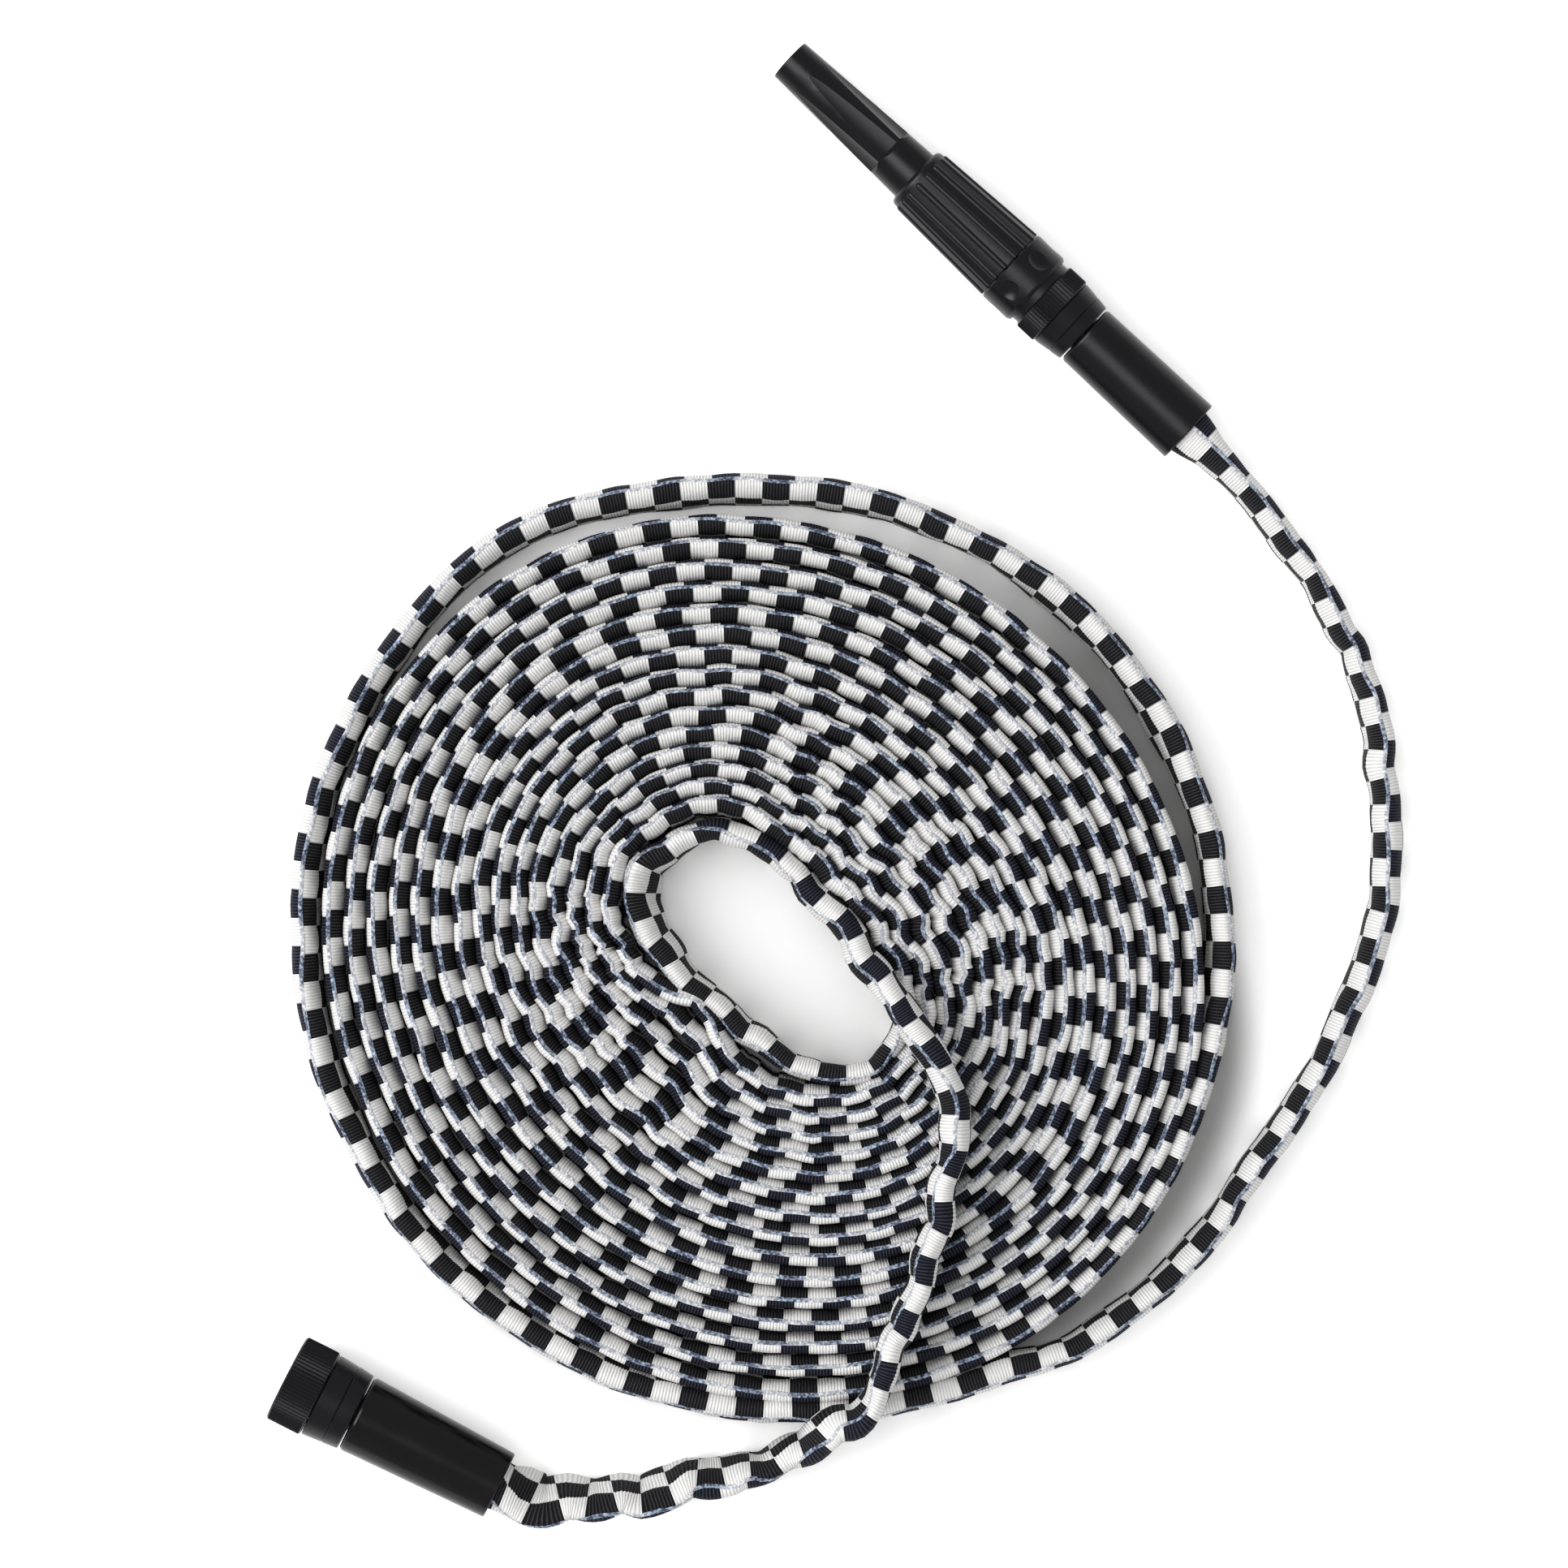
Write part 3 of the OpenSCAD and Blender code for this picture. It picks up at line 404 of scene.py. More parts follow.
unrest = {
    "wide": 2.4,            # mm, slow waves that neighbouring turns share
    "kink": 3.4,            # mm, sharp bends of the inner turns
    "kinkLevel": 0.22,
    "innerKink": 1.3,       # times as strong in the innermost turns
    "inner": (60, 140),     # radii in mm between which the innermost turns end
    # strength, direction and spread of the places where they gather, and their strength elsewhere
    "kinkPlaces": ((1.1, 182.0, 24.0), (1.1, 350.0, 28.0), (0.4, 85.0, 30.0), (0.4, 240.0, 20.0)),
    "kinkElsewhere": 0.4,
    "outer": 0.25,          # share of both in the outermost turns
    "fine": 0.4,            # mm
    "outerCalm": 0.45,      # share of the sway that is left in the middle of the loose turn
    "lean": 7.0,            # degrees
    "seam": 1.0,            # mm
    "width": 0.9,
    "lift": 0.9,
    "pucker": 1.3,          # mm, towards the tap
    "seamPucker": 1.3,      # times as much at the seam
    "puckerFrom": (200, 175),       # mm before the end
    "puckerUntil": (45, 20),
    "tapRipple": ((640, 600, 1.0), (200, 170, 1.3)),    # mm before the end, and by how much
    "nozzleRipple": (160, 240),     # mm from the start
}


def kinkShare(direction):
    gathered = sum(hump(direction, *place) for place in unrest["kinkPlaces"])
    return unrest["kinkElsewhere"] + gathered


def hoseStations(perTurn=36):
    # lengths in mm; the last number of each wobble is its seed
    u = unrest
    coilPart = [coilStation(i / perTurn) for i in range(int(coil["turns"] * perTurn) + 1)]
    even, total = splineStations(nozzleWay + coilPart + innerWay, hose["ringsPerCheck"])
    shaped = []
    direction = 360.0
    checks = hose["firstCheck"]
    step = total / (len(even) - 1)
    for i, (x, y, level, width, lean, seam) in enumerate(even):
        along = step * i
        dx, dy = x - coil["centre"][0], y - coil["centre"][1]
        radius = math.hypot(dx, dy)
        ux, uy = dx / radius, dy / radius
        direction += (math.degrees(math.atan2(dy, dx)) - direction + 180) % 360 - 180
        turned = (coil["firstDirection"] - direction) / 360
        toEnd = total - along
        if i:
            long = blend(*hose["check"][:2], ease(turned, -0.08, 0.0))
            checks += step / blend(long, hose["check"][2], ease(turned, 0.9, 1.05))
        packed = ease(turned, *coil["leanCloses"])
        packed *= 1 - ease(turned, coil["turns"] - 0.1, coil["turns"])
        loose = (1 - packed) * ease(along, 30, 90) * ease(toEnd, 20, 60)
        live = packed + loose
        calm = blend(u["outerCalm"], 1.0, abs(2 * ease(turned, -0.1, 1.1) - 1))
        inner = 1 - ease(radius, *u["inner"])
        # slow waves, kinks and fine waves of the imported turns
        wave = wobble(ux * 2.3, uy * 2.3, radius / 75, 1) * u["wide"] * blend(u["outer"], 1, inner)
        fold = u["kinkLevel"] - abs(wobble(ux * 6.5, uy * 6.5, radius / 45, 2))
        wave += fold * u["kink"] * kinkShare(direction) * blend(u["outer"], u["innerKink"], inner)
        wave += wobble(along / 16, 0, 0, 3) * u["fine"]
        # sway of the free stretches, livelier near their ends
        ripple = 1 - ease(along, *u["nozzleRipple"])
        ripple += sum(share * ease(toEnd, start, end) for start, end, share in u["tapRipple"])
        sway = wobble(along / 21, 4, 0, 4) + wobble(along / 10, 8, 0, 4) * (0.5 + ripple)
        push = wave * packed + sway * loose * calm
        # towards the tap the free hose puckers in step with its dark checks
        phase = checks + readOff(hose["ahead"], turned)
        slip = readOff(hose["slip"], turned)
        pucker = math.cos(math.pi * (phase + slip / 2 - 1.5)) * u["pucker"]
        pucker *= ease(toEnd, *u["puckerFrom"]) * (1 - ease(toEnd, *u["puckerUntil"]))
        push += pucker
        seam -= u["seamPucker"] * pucker
        lean += (wobble(along / 30, 2, 0, 5) + 0.6 * wobble(along / 12, 2, 0, 6)) * u["lean"] * live
        seam += (wobble(along / 34, 6, 0, 7)
                 + (0.5 + 0.7 * ripple) * wobble(along / 11, 6, 0, 8)) * u["seam"] * live
        width += wobble(along / 14, 9, 0, 9) * u["width"] * live * (1 + ripple)
        lift = wobble(ux * 3, uy * 3, radius / 9, 10) * u["lift"] * packed
        fin = hose["fin"] * blend(0.3, 1.0, packed) * (level < 0.01) * live
        shaped.append(Station(x + ux * push, y + uy * push, level, width, lean, seam, fin, lift,
                              along, phase, slip, packed))
    return shaped, total


def ridgeArcs(rise, steps=90):
    # arc from the top of an oval half 1 wide, at even angles down to its side
    arcs = [0.0]
    turn = math.pi / 2 / steps
    for i in range(steps):
        angle = (i + 0.5) * turn
        arcs.append(arcs[-1] + math.hypot(math.cos(angle), rise * math.sin(angle)) * turn)
    return arcs


arcs = ridgeArcs(hose["ridge"])


def ridgeAngle(arc):
    at = min(bisect(arcs, arc) - 1, len(arcs) - 2)
    return (at + (arc - arcs[at]) / (arcs[at + 1] - arcs[at])) / (len(arcs) - 1) * math.pi / 2


def halfSection(way, r, rise, quarter):
    # left and up from the middle of the foot's bend, a given way from the top
    flank = girth / 2 - quarter - math.pi * r / 2
    if way < quarter:
        angle = way / r if rise == 1 else ridgeAngle(way / r)
        return r * math.sin(angle), flank + rise * r * math.cos(angle)
    if way < quarter + flank:
        return r, flank - (way - quarter)
    angle = (way - quarter - flank) / r
    return r * math.cos(angle), -r * math.sin(angle)


def sectionPoint(way, width):
    # way: mm round the jacket from the top, + to the left
    r = width / 2
    side = 1 if way >= 0 else -1
    left, up = halfSection(abs(way), r, 1, math.pi * r / 2)
    sharp = 1 - ease(width, *hose["ridgeUntil"])
    if sharp > 0:
        leftSharp, upSharp = halfSection(abs(way), r, hose["ridge"], arcs[-1] * r)
        left, up = blend(left, leftSharp, sharp), blend(up, upSharp, sharp)
    return side * left, up


def sectionWays(width):
    # ways round the jacket to its points, from the top round to the left and back
    h = hose
    r = width / 2
    foot = math.pi * r / 2
    quarter = blend(foot, arcs[-1] * r, 1 - ease(width, *h["ridgeUntil"]))
    flank = girth / 2 - quarter - foot
    half = h["capSides"] // 2
    ways = [quarter * (i / half) ** 1.3 for i in range(half + 1)]
    ways += [quarter + flank * i / h["flankSides"] for i in range(1, h["flankSides"] + 1)]
    half = h["footSides"] // 2
    ways += [girth / 2 - foot * (1 - i / half) for i in range(1, half + 1)]
    return ways + [-way for way in reversed(ways[1:-1])]


def placeOn(station, side, way, proud=0.0, near=0.05):
    # a point of the jacket's skin, and the way out of it there
    s = station
    left, up = sectionPoint(way, s.width)
    leftNear, upNear = sectionPoint(way + near, s.width)
    leftFar, upFar = sectionPoint(way - near, s.width)
    outLeft, outUp = -(upNear - upFar), leftNear - leftFar
    long = math.hypot(outLeft, outUp) or 1
    left += proud * outLeft / long
    up += proud * outUp / long
    flank = flankHeight(s.width)
    upper = min(max(up / max(flank, 1), 0), 1)               # 0 at the foot, 1 from the cap up
    up += s.fin * left * upper
    tilt = math.radians(s.lean)
    anchor = flank * blend(0.5, 1.0, s.packed)               # packed turns are placed by their tops
    across = left * math.cos(tilt) + (up - anchor) * math.sin(tilt)
    rise = -left * math.sin(tilt) + up * math.cos(tilt)
    z = s.level * hose["coilTop"] + s.width / 2 + rise + s.lift * (rise > flank / 2)
    point = Vector((s.x + side.x * across, s.y + side.y * across, max(z, 0.0))) * mm
    out = Vector((side.x * (outLeft * math.cos(tilt) + outUp * math.sin(tilt)),
                  side.y * (outLeft * math.cos(tilt) + outUp * math.sin(tilt)),
                  -outLeft * math.sin(tilt) + outUp * math.cos(tilt)))
    return point, out.normalized()


def checkPhase(station, way):
    # how many checks along the hose a place is, with the slip across the seam
    turn = ((way - station.seam) / girth) % 1
    side = 1 if turn < 0.5 else -1
    return station.checks + side * station.slip / 2


def puff(station, way):
    # each check of the upper rows swells between its two ends
    h = hose
    rows = (way - station.seam) / rowWidth
    swell = abs(math.sin(math.pi * checkPhase(station, way))) ** h["puffPower"] - h["puffLevel"]
    seamDip = math.exp(-(((way - station.seam) / h["seamDipWidth"]) ** 2))
    side = 1 if rows < 0 else h["lipPuff"]
    end, over = h["puffRows"]
    shared = ease(end - abs(rows), 0, over) * ease(abs(rows), 0.02, 0.25)
    return h["puff"] * swell * side * shared - h["seamDip"] * seamDip


stations, hoseLength = hoseStations()
sides = []
for i in range(len(stations)):
    a, b = stations[max(i - 1, 0)], stations[min(i + 1, len(stations) - 1)]
    ahead = Vector((b[0] - a[0], b[1] - a[1])).normalized()
    sides.append(Vector((-ahead.y, ahead.x)))                # left of the way
print("hose way:", round(hoseLength), "mm,", len(stations), "rings")


def makeHose():
    around = len(sectionWays(hose["round"]))
    verts, rows = [], []
    for station, side in zip(stations, sides):
        for way in sectionWays(station.width):
            point, out = placeOn(station, side, way, puff(station, way))
            verts.append(point)
            rows.append((way - station.seam) / rowWidth)
    faces, corners = [], []
    for i in range(len(stations) - 1):
        u0, u1 = stations[i].checks, stations[i + 1].checks
        for j in range(around):
            k = (j + 1) % around
            a, b = i * around + j, i * around + k
            c, d = b + around, a + around
            va, vb, vc, vd = rows[a], rows[b], rows[c], rows[d]
            if vb < va - 3:                                  # the one place where the count wraps
                vb, vc = vb + hose["rows"], vc + hose["rows"]
            faces.append((a, d, c, b))
            corners += [(u0, va), (u1, vd), (u1, vc), (u0, vb)]
    last = (len(stations) - 1) * around
    faces.append(tuple(range(around)))
    faces.append(tuple(last + j for j in reversed(range(around))))
    corners += [(0, 0.5)] * (2 * around)
    made = meshObject("wovenHose", verts, faces)
    layer = made.data.uv_layers.new(name="jacket")
    layer.data.foreach_set("uv", [n for corner in corners for n in corner])
    slips = made.data.attributes.new("slip", "FLOAT", "POINT")
    slips.data.foreach_set("value", [s.slip for s in stations for spot in range(around)])
    return made


wovenHose = makeHose()
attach(wovenHose, "hose")
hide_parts("hose_coil", "hose_tap_tail", "hose_nozzle_tail")
[(s.x * mm, s.y * mm, (s.level * hose["coilTop"] + restHeight(s.width, s.lean)) * mm)
          for s in stations]
print("hose made:", len(wovenHose.data.polygons), "faces")


# ---- seam: a band with a braid of stitches along the whole hose ----

seam = {
    "bandWidth": 1.9,       # mm
    "bandRise": 0.22,
    "bandDepth": 0.15,      # of its edges
    "bandFlat": 0.8,        # share of its width that is flat
    "dip": 0.7,             # share of the jacket's dip in which it lies
    "rightDark": 0.85,
    "stitchStep": 1.2,
    "stitchLength": 1.8,
    "stitchWidth": 0.75,
    "stitchHeight": 0.5,
    "stitchTurn": 33.0,     # degrees, to either side in turn
    "weave": 0.36,          # mm sideways, to either side in turn
    "beadSides": 4,
    "beadRings": 3,
    "without": 6,           # stitches left out at each end
    "roughness": 0.6,
    "sheen": 0.15,
    "speckle": 800,         # scale of the noise between the dark and the pale colour
    "harsh": (0.42, 0.68),
    "darkBlue": (0.016, 0.024, 0.06),
    "paleBlue": (0.40, 0.50, 0.64),
    "greyWhite": (0.40, 0.41, 0.45),
    "white": (0.80, 0.81, 0.83),
}
seamSunk = hose["seamDip"] * seam["dip"]


def seamDark(station):
    # how dark the checks beside the seam are, mostly those on its right
    left = math.floor(checkPhase(station, station.seam + 0.1)) % 2
    right = (math.floor(checkPhase(station, station.seam - 0.1)) + 1) % 2
    return blend(left, right, seam["rightDark"])


def makeSeamBand():
    half, rise = seam["bandWidth"] / 2, seam["bandRise"]
    flat, edge = half * seam["bandFlat"], -seam["bandDepth"]
    outline = [(-half, edge), (-flat, rise), (flat, rise), (half, edge)]
    verts, faces, darks = [], [], []
    for station, side in zip(stations, sides):
        darks += [seamDark(station)] * len(outline)
        for offset, proud in outline:
            verts.append(placeOn(station, side, station.seam + offset, proud - seamSunk)[0])
    n = len(outline)
    for i in range(len(stations) - 1):
        for j in range(n):
            a, b = i * n + j, i * n + (j + 1) % n
            faces.append((a, a + n, b + n, b))
    last = (len(stations) - 1) * n
    faces.append(tuple(range(n)))
    faces.append(tuple(last + j for j in reversed(range(n))))
    made = meshObject("seamBand", verts, faces)
    made.data.attributes.new("dark", "FLOAT", "POINT").data.foreach_set("value", darks)
    return made


def stitchSpots():
    # a point for each stitch, its way along, its way out, and how dark the checks beside it are
    verts, alongs, outs, darks = [], [], [], []
    for i in range(seam["without"], int(hoseLength / seam["stitchStep"]) - seam["without"]):
        place = i * seam["stitchStep"] / hoseLength * (len(stations) - 1)
        at = min(int(place), len(stations) - 2)
        f = place - at
        station = Station(*[blend(a, b, f) for a, b in zip(stations[at], stations[at + 1])])
        side = sides[at].lerp(sides[at + 1], f)
        ahead = Vector((side.y, -side.x, 0))
        flip = 1 if i % 2 else -1
        way = station.seam + flip * seam["weave"]
        point, out = placeOn(station, side, way, seam["bandRise"] - seamSunk)
        turn = math.radians(seam["stitchTurn"]) * flip
        verts.append(point)
        alongs.append(ahead * math.cos(turn) + out.cross(ahead) * math.sin(turn))
        outs.append(out)
        darks.append(seamDark(station))
    return verts, alongs, outs, darks


def stitchTree(material):
    tree = bpy.data.node_groups.new("braidedStitches", "GeometryNodeTree")
    addSocket = tree.interface.new_socket
    for way in ("INPUT", "OUTPUT"):
        addSocket(name="Geometry", in_out=way, socket_type="NodeSocketGeometry")
    for name in ("Length", "Width", "Height"):
        measure = addSocket(name=name, in_out="INPUT", socket_type="NodeSocketFloat")
        measure.default_value = seam["stitch" + name] * mm
    kit = NodeKit(tree)
    start, end = kit.add("NodeGroupInput"), kit.add("NodeGroupOutput")
    size = kit.add("ShaderNodeCombineXYZ")
    for socket, name in zip(size.inputs, ("Length", "Width", "Height")):
        half = kit.math("MULTIPLY", start.outputs[name], 0.5)
        kit.link(half, socket)
    bead = kit.add("GeometryNodeMeshUVSphere")
    bead.inputs["Segments"].default_value = seam["beadSides"]
    bead.inputs["Rings"].default_value = seam["beadRings"]
    bead.inputs["Radius"].default_value = 1.0
    dots = kit.add("GeometryNodeMeshToPoints")
    kit.link(start.outputs["Geometry"], dots.inputs[0])
    turned = None
    for axis, name in (("X", "along"), ("Z", "out")):
        stored = kit.add("GeometryNodeInputNamedAttribute", data_type="FLOAT_VECTOR")
        stored.inputs["Name"].default_value = name
        align = kit.add("FunctionNodeAlignRotationToVector", axis=axis,
                        pivot_axis="AUTO" if turned is None else "X")
        kit.link(stored.outputs["Attribute"], align.inputs["Vector"])
        if turned is not None:
            kit.link(turned, align.inputs["Rotation"])
        turned = align.outputs[0]
    instances = kit.add("GeometryNodeInstanceOnPoints")
    kit.link(dots.outputs[0], instances.inputs["Points"])
    kit.link(bead.outputs["Mesh"], instances.inputs["Instance"])
    kit.link(turned, instances.inputs["Rotation"])
    kit.link(size.outputs[0], instances.inputs["Scale"])
    real = kit.add("GeometryNodeRealizeInstances")
    kit.link(instances.outputs[0], real.inputs[0])
    smooth = kit.add("GeometryNodeSetShadeSmooth")
    kit.link(real.outputs[0], smooth.inputs[0])
    paint = kit.add("GeometryNodeSetMaterial")
    paint.inputs["Material"].default_value = material
    kit.link(smooth.outputs[0], paint.inputs[0])
    kit.link(paint.outputs[0], end.inputs[0])
    return tree


def growMesh(carrier, tree, name):
    # runs a geometry tree on a carrier and keeps the result as a plain mesh
    modifier = carrier.modifiers.new("grow", "NODES")
    modifier.node_group = tree
    evaluated = carrier.evaluated_get(bpy.context.evaluated_depsgraph_get())
    mesh = bpy.data.meshes.new_from_object(evaluated)
    mesh.name = name
    made = bpy.data.objects.new(name, mesh)
    scene.collection.objects.link(made)
    bpy.data.objects.remove(carrier)
    return made


def braidMaterial():
    s = seam
    material, kit, shader = newMaterial("seamThread")
    speckle = kit.share(kit.noise(s["speckle"]), s["harsh"])
    dark = kit.add("ShaderNodeAttribute", attribute_name="dark").outputs["Fac"]
    blue = kit.mix(speckle, s["darkBlue"], s["paleBlue"])
    white = kit.mix(speckle, s["greyWhite"], s["white"])
    kit.link(kit.mix(dark, white, blue), shader.inputs["Base Color"])
    shader.inputs["Roughness"].default_value = s["roughness"]
    shader.inputs["Sheen Weight"].default_value = s["sheen"]
    return material


seamBand = makeSeamBand()
threadMaterial = braidMaterial()
seamBand.data.materials.append(threadMaterial)
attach(seamBand, "hose")

spots, alongs, outs, darks = stitchSpots()
carrier = meshObject("stitchSpots", spots, [], smooth=False)
for name, values in (("along", alongs), ("out", outs)):
    attribute = carrier.data.attributes.new(name, "FLOAT_VECTOR", "POINT")
    attribute.data.foreach_set("vector", [n for v in values for n in v])
carrier.data.attributes.new("dark", "FLOAT", "POINT").data.foreach_set("value", darks)
seamStitches = growMesh(carrier, stitchTree(threadMaterial), "seamStitches")
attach(seamStitches, "hose")
print("seam made:", len(spots), "stitches,", len(seamStitches.data.polygons), "faces")


# ---- jacket material: checks, ribs and threads along the hose's own map, with painted shade and highlights on the ribs ----

jacket = {
    "white": (0.83, 0.828, 0.82),
    # painted shade in the gaps between the ribs on the white checks
    "whiteRibShade": (0.65, 0.64, 0.63),
    "cream": (0.80, 0.785, 0.76),
    "black": (0.0022, 0.0022, 0.0030),
    # painted highlights on the ribs' crests over black, navy on the lip row
    "blackCrestHighlight": (0.040, 0.040, 0.044),
    "navyCrestHighlight": (0.036, 0.040, 0.066),
    "ribs": 9,              # in each check
    "relief": 0.00031,      # m
    # scales of the noise that bends the ribs, roughens the threads, stains the white, and puckers
    "bendScale": 420,
    "fuzzScale": 1400,
    "stainScale": 45,
    "puckerScale": 190,
    "bend": 2.2,
    "toothed": 0.02,        # rows that the ribs push the checks' edges
    "crestPower": 3.0,      # how narrow the painted highlight on a rib's crest is on black
    "crestLight": (1.2, 0.3),   # how light that painted highlight is, by the fuzz and at least
    "ribShadePower": 2.5,        # how narrow the painted shade between ribs is on white
    "stain": 0.3,
    "ribRound": 0.6,
    "pucker": 2.2,
    "fuzz": 0.35,
    "bump": 0.9,
    "roughness": 0.82,
    "specular": 0.12,
}


def jacketMaterial():
    j = jacket
    material, kit, shader = newMaterial("checkedJacket")
    uv = kit.add("ShaderNodeUVMap", uv_map="jacket").outputs[0]
    split = kit.add("ShaderNodeSeparateXYZ")
    kit.link(uv, split.inputs[0])
    turn = kit.math("FRACT", kit.math("DIVIDE", split.outputs[1], float(hose["rows"])))
    slip = kit.add("ShaderNodeAttribute", attribute_name="slip").outputs["Fac"]
    side = kit.math("SUBTRACT", kit.math("LESS_THAN", turn, 0.5), 0.5)
    along = kit.math("MULTIPLY_ADD", slip, side, split.outputs[0])
    ribs = kit.math("MULTIPLY_ADD", along, 2 * math.pi * j["ribs"],
                    kit.math("MULTIPLY", kit.noise(j["bendScale"]), j["bend"]))
    ribWave = kit.math("COSINE", ribs)
    rows = kit.math("MULTIPLY", turn, float(hose["rows"]))
    across = kit.math("MULTIPLY_ADD", ribWave, j["toothed"], rows)
    row = kit.math("FLOOR", across)
    parity = kit.math("MODULO", kit.math("ADD", row, kit.math("FLOOR", along)), 2.0)
    dark = kit.math("GREATER_THAN", kit.math("ABSOLUTE", parity), 0.5)
    crest = kit.math("MULTIPLY_ADD", ribWave, 0.5, 0.5)
    fuzz = kit.noise(j["fuzzScale"])
    # painted highlight along each rib's crest on the black checks, navy on the lip row
    crestHighlight = kit.math("MULTIPLY", kit.math("POWER", crest, j["crestPower"]),
                          kit.math("MULTIPLY_ADD", fuzz, *j["crestLight"]))
    lipRow = kit.math("LESS_THAN", turn, 1.0 / hose["rows"])
    black = kit.mix(crestHighlight, j["black"], kit.mix(lipRow, j["blackCrestHighlight"], j["navyCrestHighlight"]))
    # painted shade between the ribs darkens the white checks
    gap = kit.math("POWER", kit.math("SUBTRACT", 1.0, crest), j["ribShadePower"])
    stain = kit.math("MULTIPLY", kit.noise(j["stainScale"]), j["stain"])
    white = kit.mix(stain, j["white"], j["cream"])
    white = kit.mix(gap, white, j["whiteRibShade"])
    kit.link(kit.mix(dark, white, black), shader.inputs["Base Color"])
    height = kit.math("MULTIPLY_ADD", fuzz, j["fuzz"], kit.math("POWER", crest, j["ribRound"]))
    height = kit.math("MULTIPLY_ADD", kit.noise(j["puckerScale"]), j["pucker"], height)
    kit.link(kit.bump(height, j["bump"], j["relief"]), shader.inputs["Normal"])
    shader.inputs["Roughness"].default_value = j["roughness"]
    shader.inputs["Specular IOR Level"].default_value = j["specular"]
    return material


wovenHose.data.materials.append(jacketMaterial())
print("jacket dressed")


# ---- plastics, rubber and metal of the fittings ----

fitting = {
    "fineScale": 2600,      # of the noise in the surface
    "broadScale": 90,       # of the noise in the colour and the gloss
    "streakScale": 400,     # of the noise in the metal
    "relief": 0.00006,      # m
    "mottle": 0.6,          # share of the lighter colour at most
    "lighter": (1.5, 0.002),    # times, and at least by
    "streaks": 0.5,
    "darker": 0.7,
}


def plasticMaterial(name, colour, roughness, grain, spread=0.06, shine=0.28):
    material, kit, shader = newMaterial(name)
    broad = kit.noise(fitting["broadScale"])
    times, by = fitting["lighter"]
    mottle = kit.math("MULTIPLY", broad, fitting["mottle"])
    kit.link(kit.mix(mottle, colour, tuple(c * times + by for c in colour)),
             shader.inputs["Base Color"])
    shader.inputs["Specular IOR Level"].default_value = shine
    kit.link(kit.math("MULTIPLY_ADD", broad, spread, roughness - spread / 2),
             shader.inputs["Roughness"])
    fine = kit.noise(fitting["fineScale"])
    kit.link(kit.bump(fine, grain, fitting["relief"]), shader.inputs["Normal"])
    return material


def metalMaterial(name, colour, roughness):
    material, kit, shader = newMaterial(name)
    darker = tuple(c * fitting["darker"] for c in colour)
    streaks = kit.math("MULTIPLY", kit.noise(fitting["streakScale"]), fitting["streaks"])
    kit.link(kit.mix(streaks, colour, darker), shader.inputs["Base Color"])
    shader.inputs["Metallic"].default_value = 1.0
    shader.inputs["Roughness"].default_value = roughness
    return material


# name, colour, roughness, grain, and where they aren't the usual ones, spread and shine
satinBlack = plasticMaterial("satinBlackPlastic", (0.0025, 0.002, 0.003), 0.24, 0.5, shine=0.13)
mouldBlack = plasticMaterial("mouldedBlackPlastic", (0.003, 0.0025, 0.004), 0.28, 0.6, shine=0.13)
glossBlack = plasticMaterial("glossBlackPlastic", (0.002, 0.002, 0.0025), 0.16, 0.25, 0.12, 0.13)
sealRubber = plasticMaterial("sealRubber", (0.020, 0.020, 0.020), 0.7, 0.4)
linerRubber = plasticMaterial("linerRubber", (0.030, 0.030, 0.031), 0.65, 0.4)
# the hose's cloth under the sleeves, all in its dark check colour so that the gap between collar
# and sleeve shows painted shade
jacketEndAndGapShade = plasticMaterial("jacketClothAndGapShade", (0.02, 0.02, 0.022), 0.85, 0.9)
ferruleSteel = metalMaterial("ferruleSteel", (0.62, 0.62, 0.63), 0.35)
pinBrass = metalMaterial("pinBrass", (0.75, 0.56, 0.26), 0.3)

finishes = {
    satinBlack: ["nozzle_barrel", "nozzle_nut", "outlet_sleeve", "nozzle_stem"],
    mouldBlack: ["grip_sleeve", "tap_nut", "outlet_coupling", "tap_collar", "outlet_collar",
                 "tap_tailpiece", "bearing_ring"],
    glossBlack: ["tap_sleeve"],
    sealRubber: ["tap_washer", "nozzle_washer", "stem_seal"],
    linerRubber: ["tap_liner_end", "outlet_liner_end"],
    jacketEndAndGapShade: ["tap_jacket_end", "outlet_jacket_end"],
    ferruleSteel: ["tap_ferrule", "outlet_ferrule", "grip_clip"],
    pinBrass: ["valve_pin"],
}
for material, names in finishes.items():
    for name in names:
        target = nodes[name].data
        target.materials.clear()
        target.materials.append(material)
print("fittings dressed")


# ---- floor, light and world ----

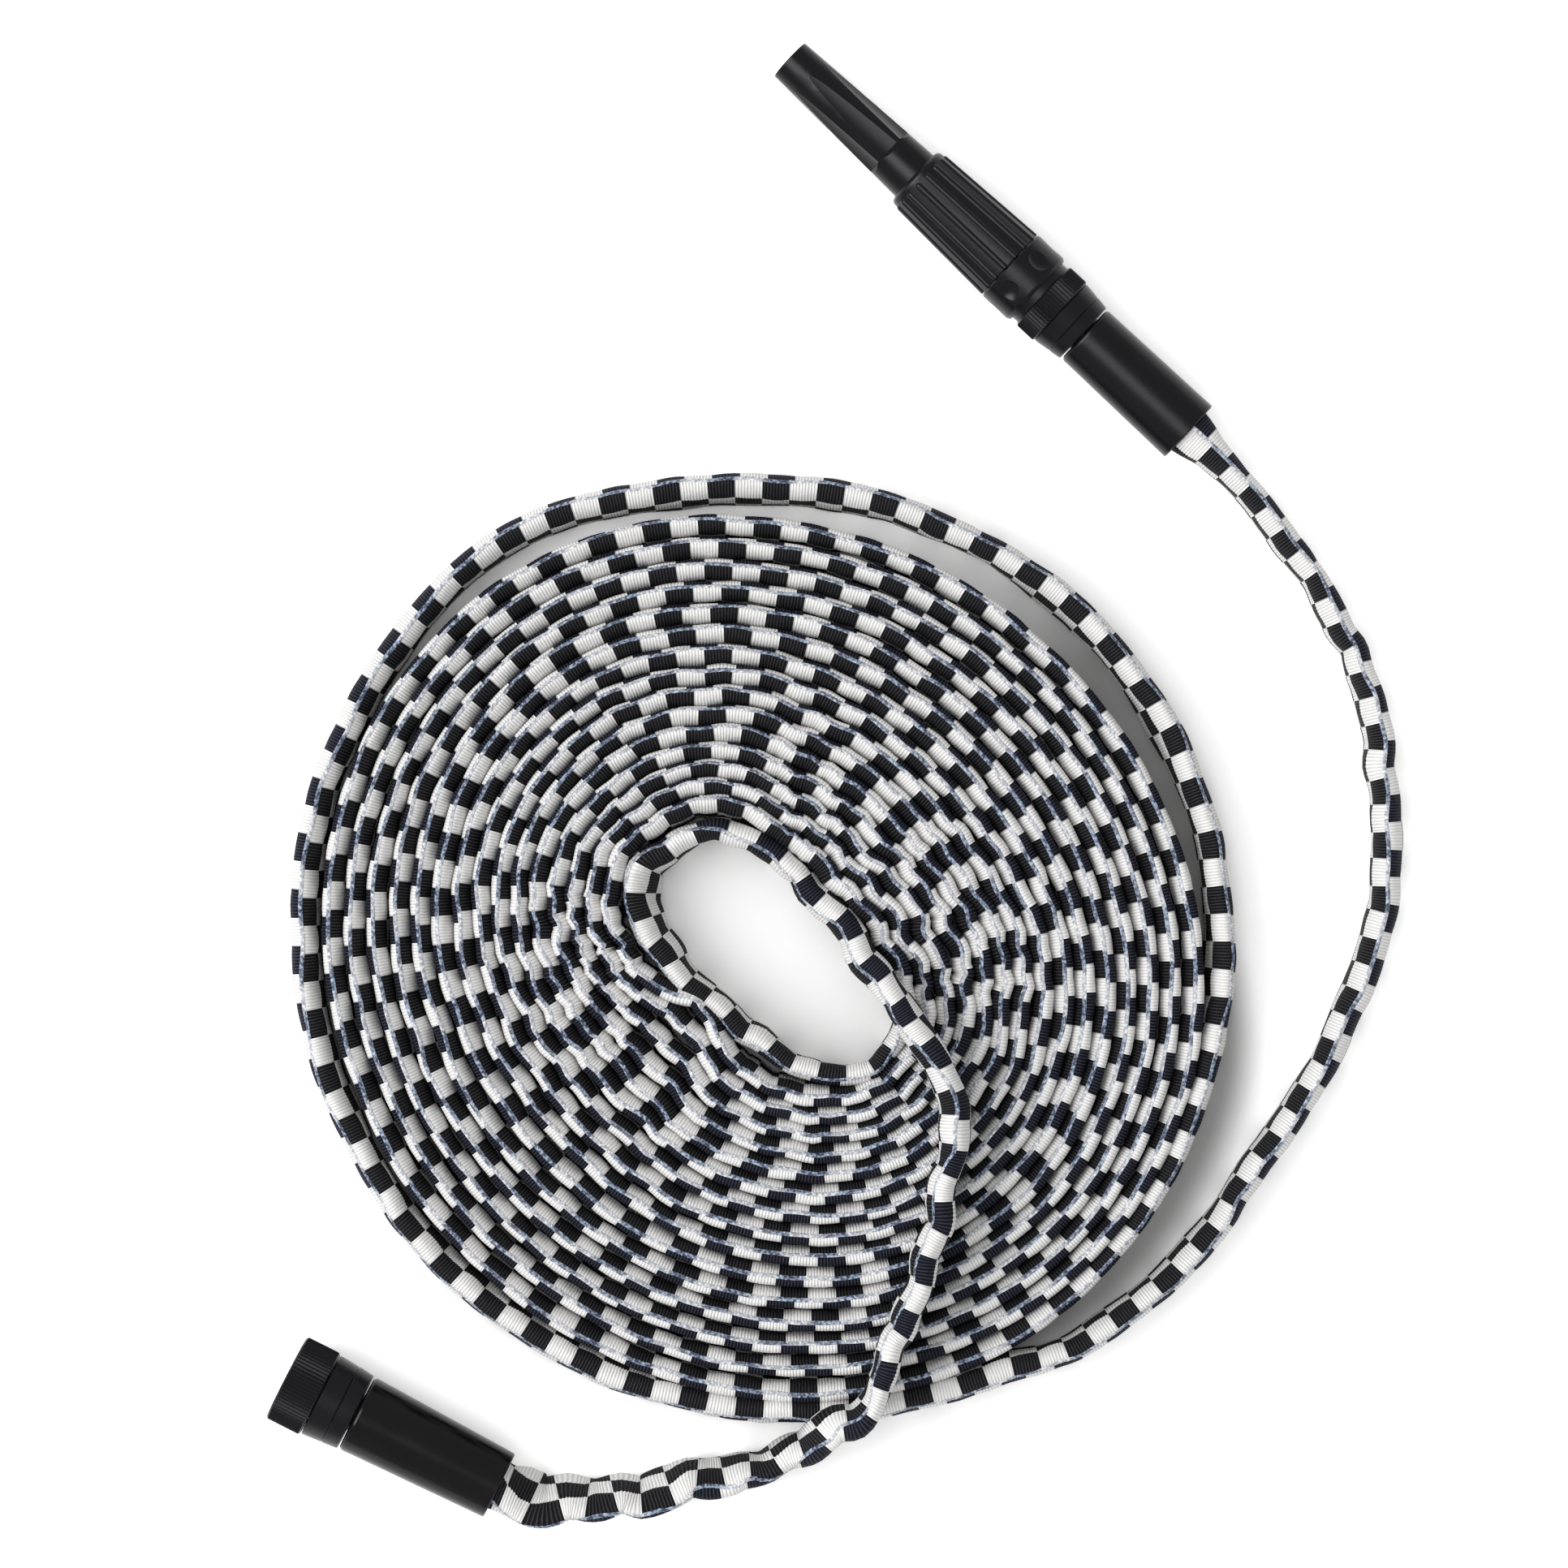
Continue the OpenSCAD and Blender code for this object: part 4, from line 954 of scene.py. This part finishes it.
studio = {
    "floorSize": 6.0,
    "floorLevel": -0.0004,
    "floorColour": (0.96, 0.96, 0.96),
    "floorRoughness": 0.9,
    "floorSpecular": 0.1,
    # painted light and shade of the floor as it is seen: distances in m from the coil's middle,
    # over which the gap beside the loose turn begins and ends and open floor is reached
    "gapStart": (0.045, 0.1),
    "gapEnd": (0.163, 0.18),
    "openFloor": (0.18, 0.23),
    "gapPaintedShadeAndLight": (0.42, 1.7),            # painted shade in the gap on its dark side, painted light on its light side
    "outerPaintedLight": (1.35, 1.62),         # painted light beside the coil that lifts its shadows, and far from it
    # the side on which the gap is given painted light
    "lightSide": (-0.087, 0.996, 0.0),
    "lightShare": (0.55, 1.0),
    "wedgeSide": (0.85, -0.53, 0.0),    # the gap's painted shade reaches further out in this direction
    "wedgeShare": (0.82, 1.0),
    "wedgeReach": 0.015,
    "keyPower": 17.0,
    "keyPlace": (-1.7, -0.1, 1.9),
    "keySize": 1.5,
    "keyAim": (0.02, -0.03, 0.0),
    "worldLevel": 0.5,
    "worldGlow": 1.0,
    "glowFrom": (-0.74, 0.06, 0.67),
    "glowEdge": (-0.1, 1.0),
    "paintedReflectionGlow": 10.0,                # painted reflection: a soft box in the white that only mirrored rays see, lighting nothing, so shiny plastic shows a highlight
    "boxFrom": (-0.42, 0.12, 0.90),
    "boxEdge": (0.88, 0.97),
}


def seesBackdrop(kit):
    # 1 for rays that show the background: straight, mirrored or through something clear
    path = kit.add("ShaderNodeLightPath")
    sees = path.outputs["Is Camera Ray"]
    for name in ("Is Glossy Ray", "Is Transmission Ray"):
        sees = kit.math("MAXIMUM", sees, path.outputs[name])
    return sees


def makeFloor():
    s = studio
    half = s["floorSize"] / 2
    corners = [(x * half, y * half, 0) for x, y in ((-1, -1), (1, -1), (1, 1), (-1, 1))]
    floor = meshObject("paleFloor", corners, [(0, 1, 2, 3)], smooth=False)
    floor.location.z = s["floorLevel"]
    material, kit, shader = newMaterial("paleFloor")
    offset = kit.add("ShaderNodeVectorMath", operation="SUBTRACT")
    kit.link(kit.add("ShaderNodeTexCoord").outputs["Object"], offset.inputs[0])
    offset.inputs[1].default_value = (coil["centre"][0] * mm, coil["centre"][1] * mm, 0)
    length = kit.add("ShaderNodeVectorMath", operation="LENGTH")
    kit.link(offset.outputs[0], length.inputs[0])
    facing = kit.add("ShaderNodeVectorMath", operation="NORMALIZE")
    kit.link(offset.outputs[0], facing.inputs[0])

    soft = {"interpolation_type": "SMOOTHSTEP"}

    def sideShare(side):
        towards = kit.towards(facing.outputs[0], s[side + "Side"])
        return kit.share(towards, s[side + "Share"], **soft)

    # painted shade and light: how the floor is seen is darkened in the gap on its dark side,
    # lightened on its light side and beside the coil; its shadows still darken it
    reach = kit.math("MULTIPLY", sideShare("wedge"), s["wedgeReach"])
    away = kit.math("SUBTRACT", length.outputs["Value"], reach)
    dim, light = s["gapPaintedShadeAndLight"]
    gap = kit.math("MULTIPLY_ADD", sideShare("light"), light - dim, dim)
    outside = kit.share(away, s["gapEnd"], **soft)
    inGap = kit.math("SUBTRACT", kit.share(away, s["gapStart"], **soft), outside)
    near, far = s["outerPaintedLight"]
    shown = kit.math("MULTIPLY_ADD", outside, near - 1, 1.0)
    shown = kit.math("MULTIPLY_ADD", kit.share(away, s["openFloor"], **soft), far - near, shown)
    shown = kit.math("MULTIPLY_ADD", inGap, kit.math("SUBTRACT", gap, 1.0), shown)
    shade = kit.add("ShaderNodeCombineColor")
    for socket in shade.inputs[:3]:
        kit.link(shown, socket)
    kit.link(kit.mix(seesBackdrop(kit), s["floorColour"], shade.outputs[0]),
             shader.inputs["Base Color"])
    shader.inputs["Roughness"].default_value = s["floorRoughness"]
    shader.inputs["Specular IOR Level"].default_value = s["floorSpecular"]
    floor.data.materials.append(material)


def makeKeyLamp():
    data = bpy.data.lights.new("keyLamp", "AREA")
    data.shape = "DISK"
    data.size = studio["keySize"]
    data.energy = studio["keyPower"]
    lamp = bpy.data.objects.new("keyLamp", data)
    lamp.location = studio["keyPlace"]
    aim = Vector(studio["keyAim"]) - lamp.location
    lamp.rotation_euler = aim.to_track_quat("-Z", "Y").to_euler()
    scene.collection.objects.link(lamp)


def makeWorld():
    s = studio
    world = bpy.data.worlds.new("paleStudio")
    world.use_nodes = True
    kit = NodeKit(world.node_tree)
    ground = world.node_tree.nodes["Background"]
    shown = kit.add("ShaderNodeBackground")
    for background in (ground, shown):
        background.inputs["Color"].default_value = (1, 1, 1, 1)
    direction = kit.add("ShaderNodeTexCoord").outputs["Generated"]

    def patch(name):
        facing = kit.towards(direction, s[name + "From"])
        return kit.share(facing, s[name + "Edge"], interpolation_type="SMOOTHSTEP")

    kit.link(kit.math("MULTIPLY_ADD", patch("glow"), s["worldGlow"], s["worldLevel"]),
             ground.inputs["Strength"])
    shine = kit.add("ShaderNodeLightPath").outputs["Is Glossy Ray"]
    # painted reflection: mirrored rays see a bright soft box on top of the white background
    box = kit.math("MULTIPLY", patch("box"), shine)
    kit.link(kit.math("MULTIPLY_ADD", box, s["paintedReflectionGlow"], 1.0), shown.inputs["Strength"])
    mix = kit.add("ShaderNodeMixShader")
    kit.link(seesBackdrop(kit), mix.inputs[0])
    kit.link(ground.outputs[0], mix.inputs[1])
    kit.link(shown.outputs[0], mix.inputs[2])
    kit.link(mix.outputs[0], world.node_tree.nodes["World Output"].inputs[0])
    scene.world = world


makeFloor()
makeKeyLamp()
makeWorld()
scene.view_settings.view_transform = "Standard"
print("studio ready")
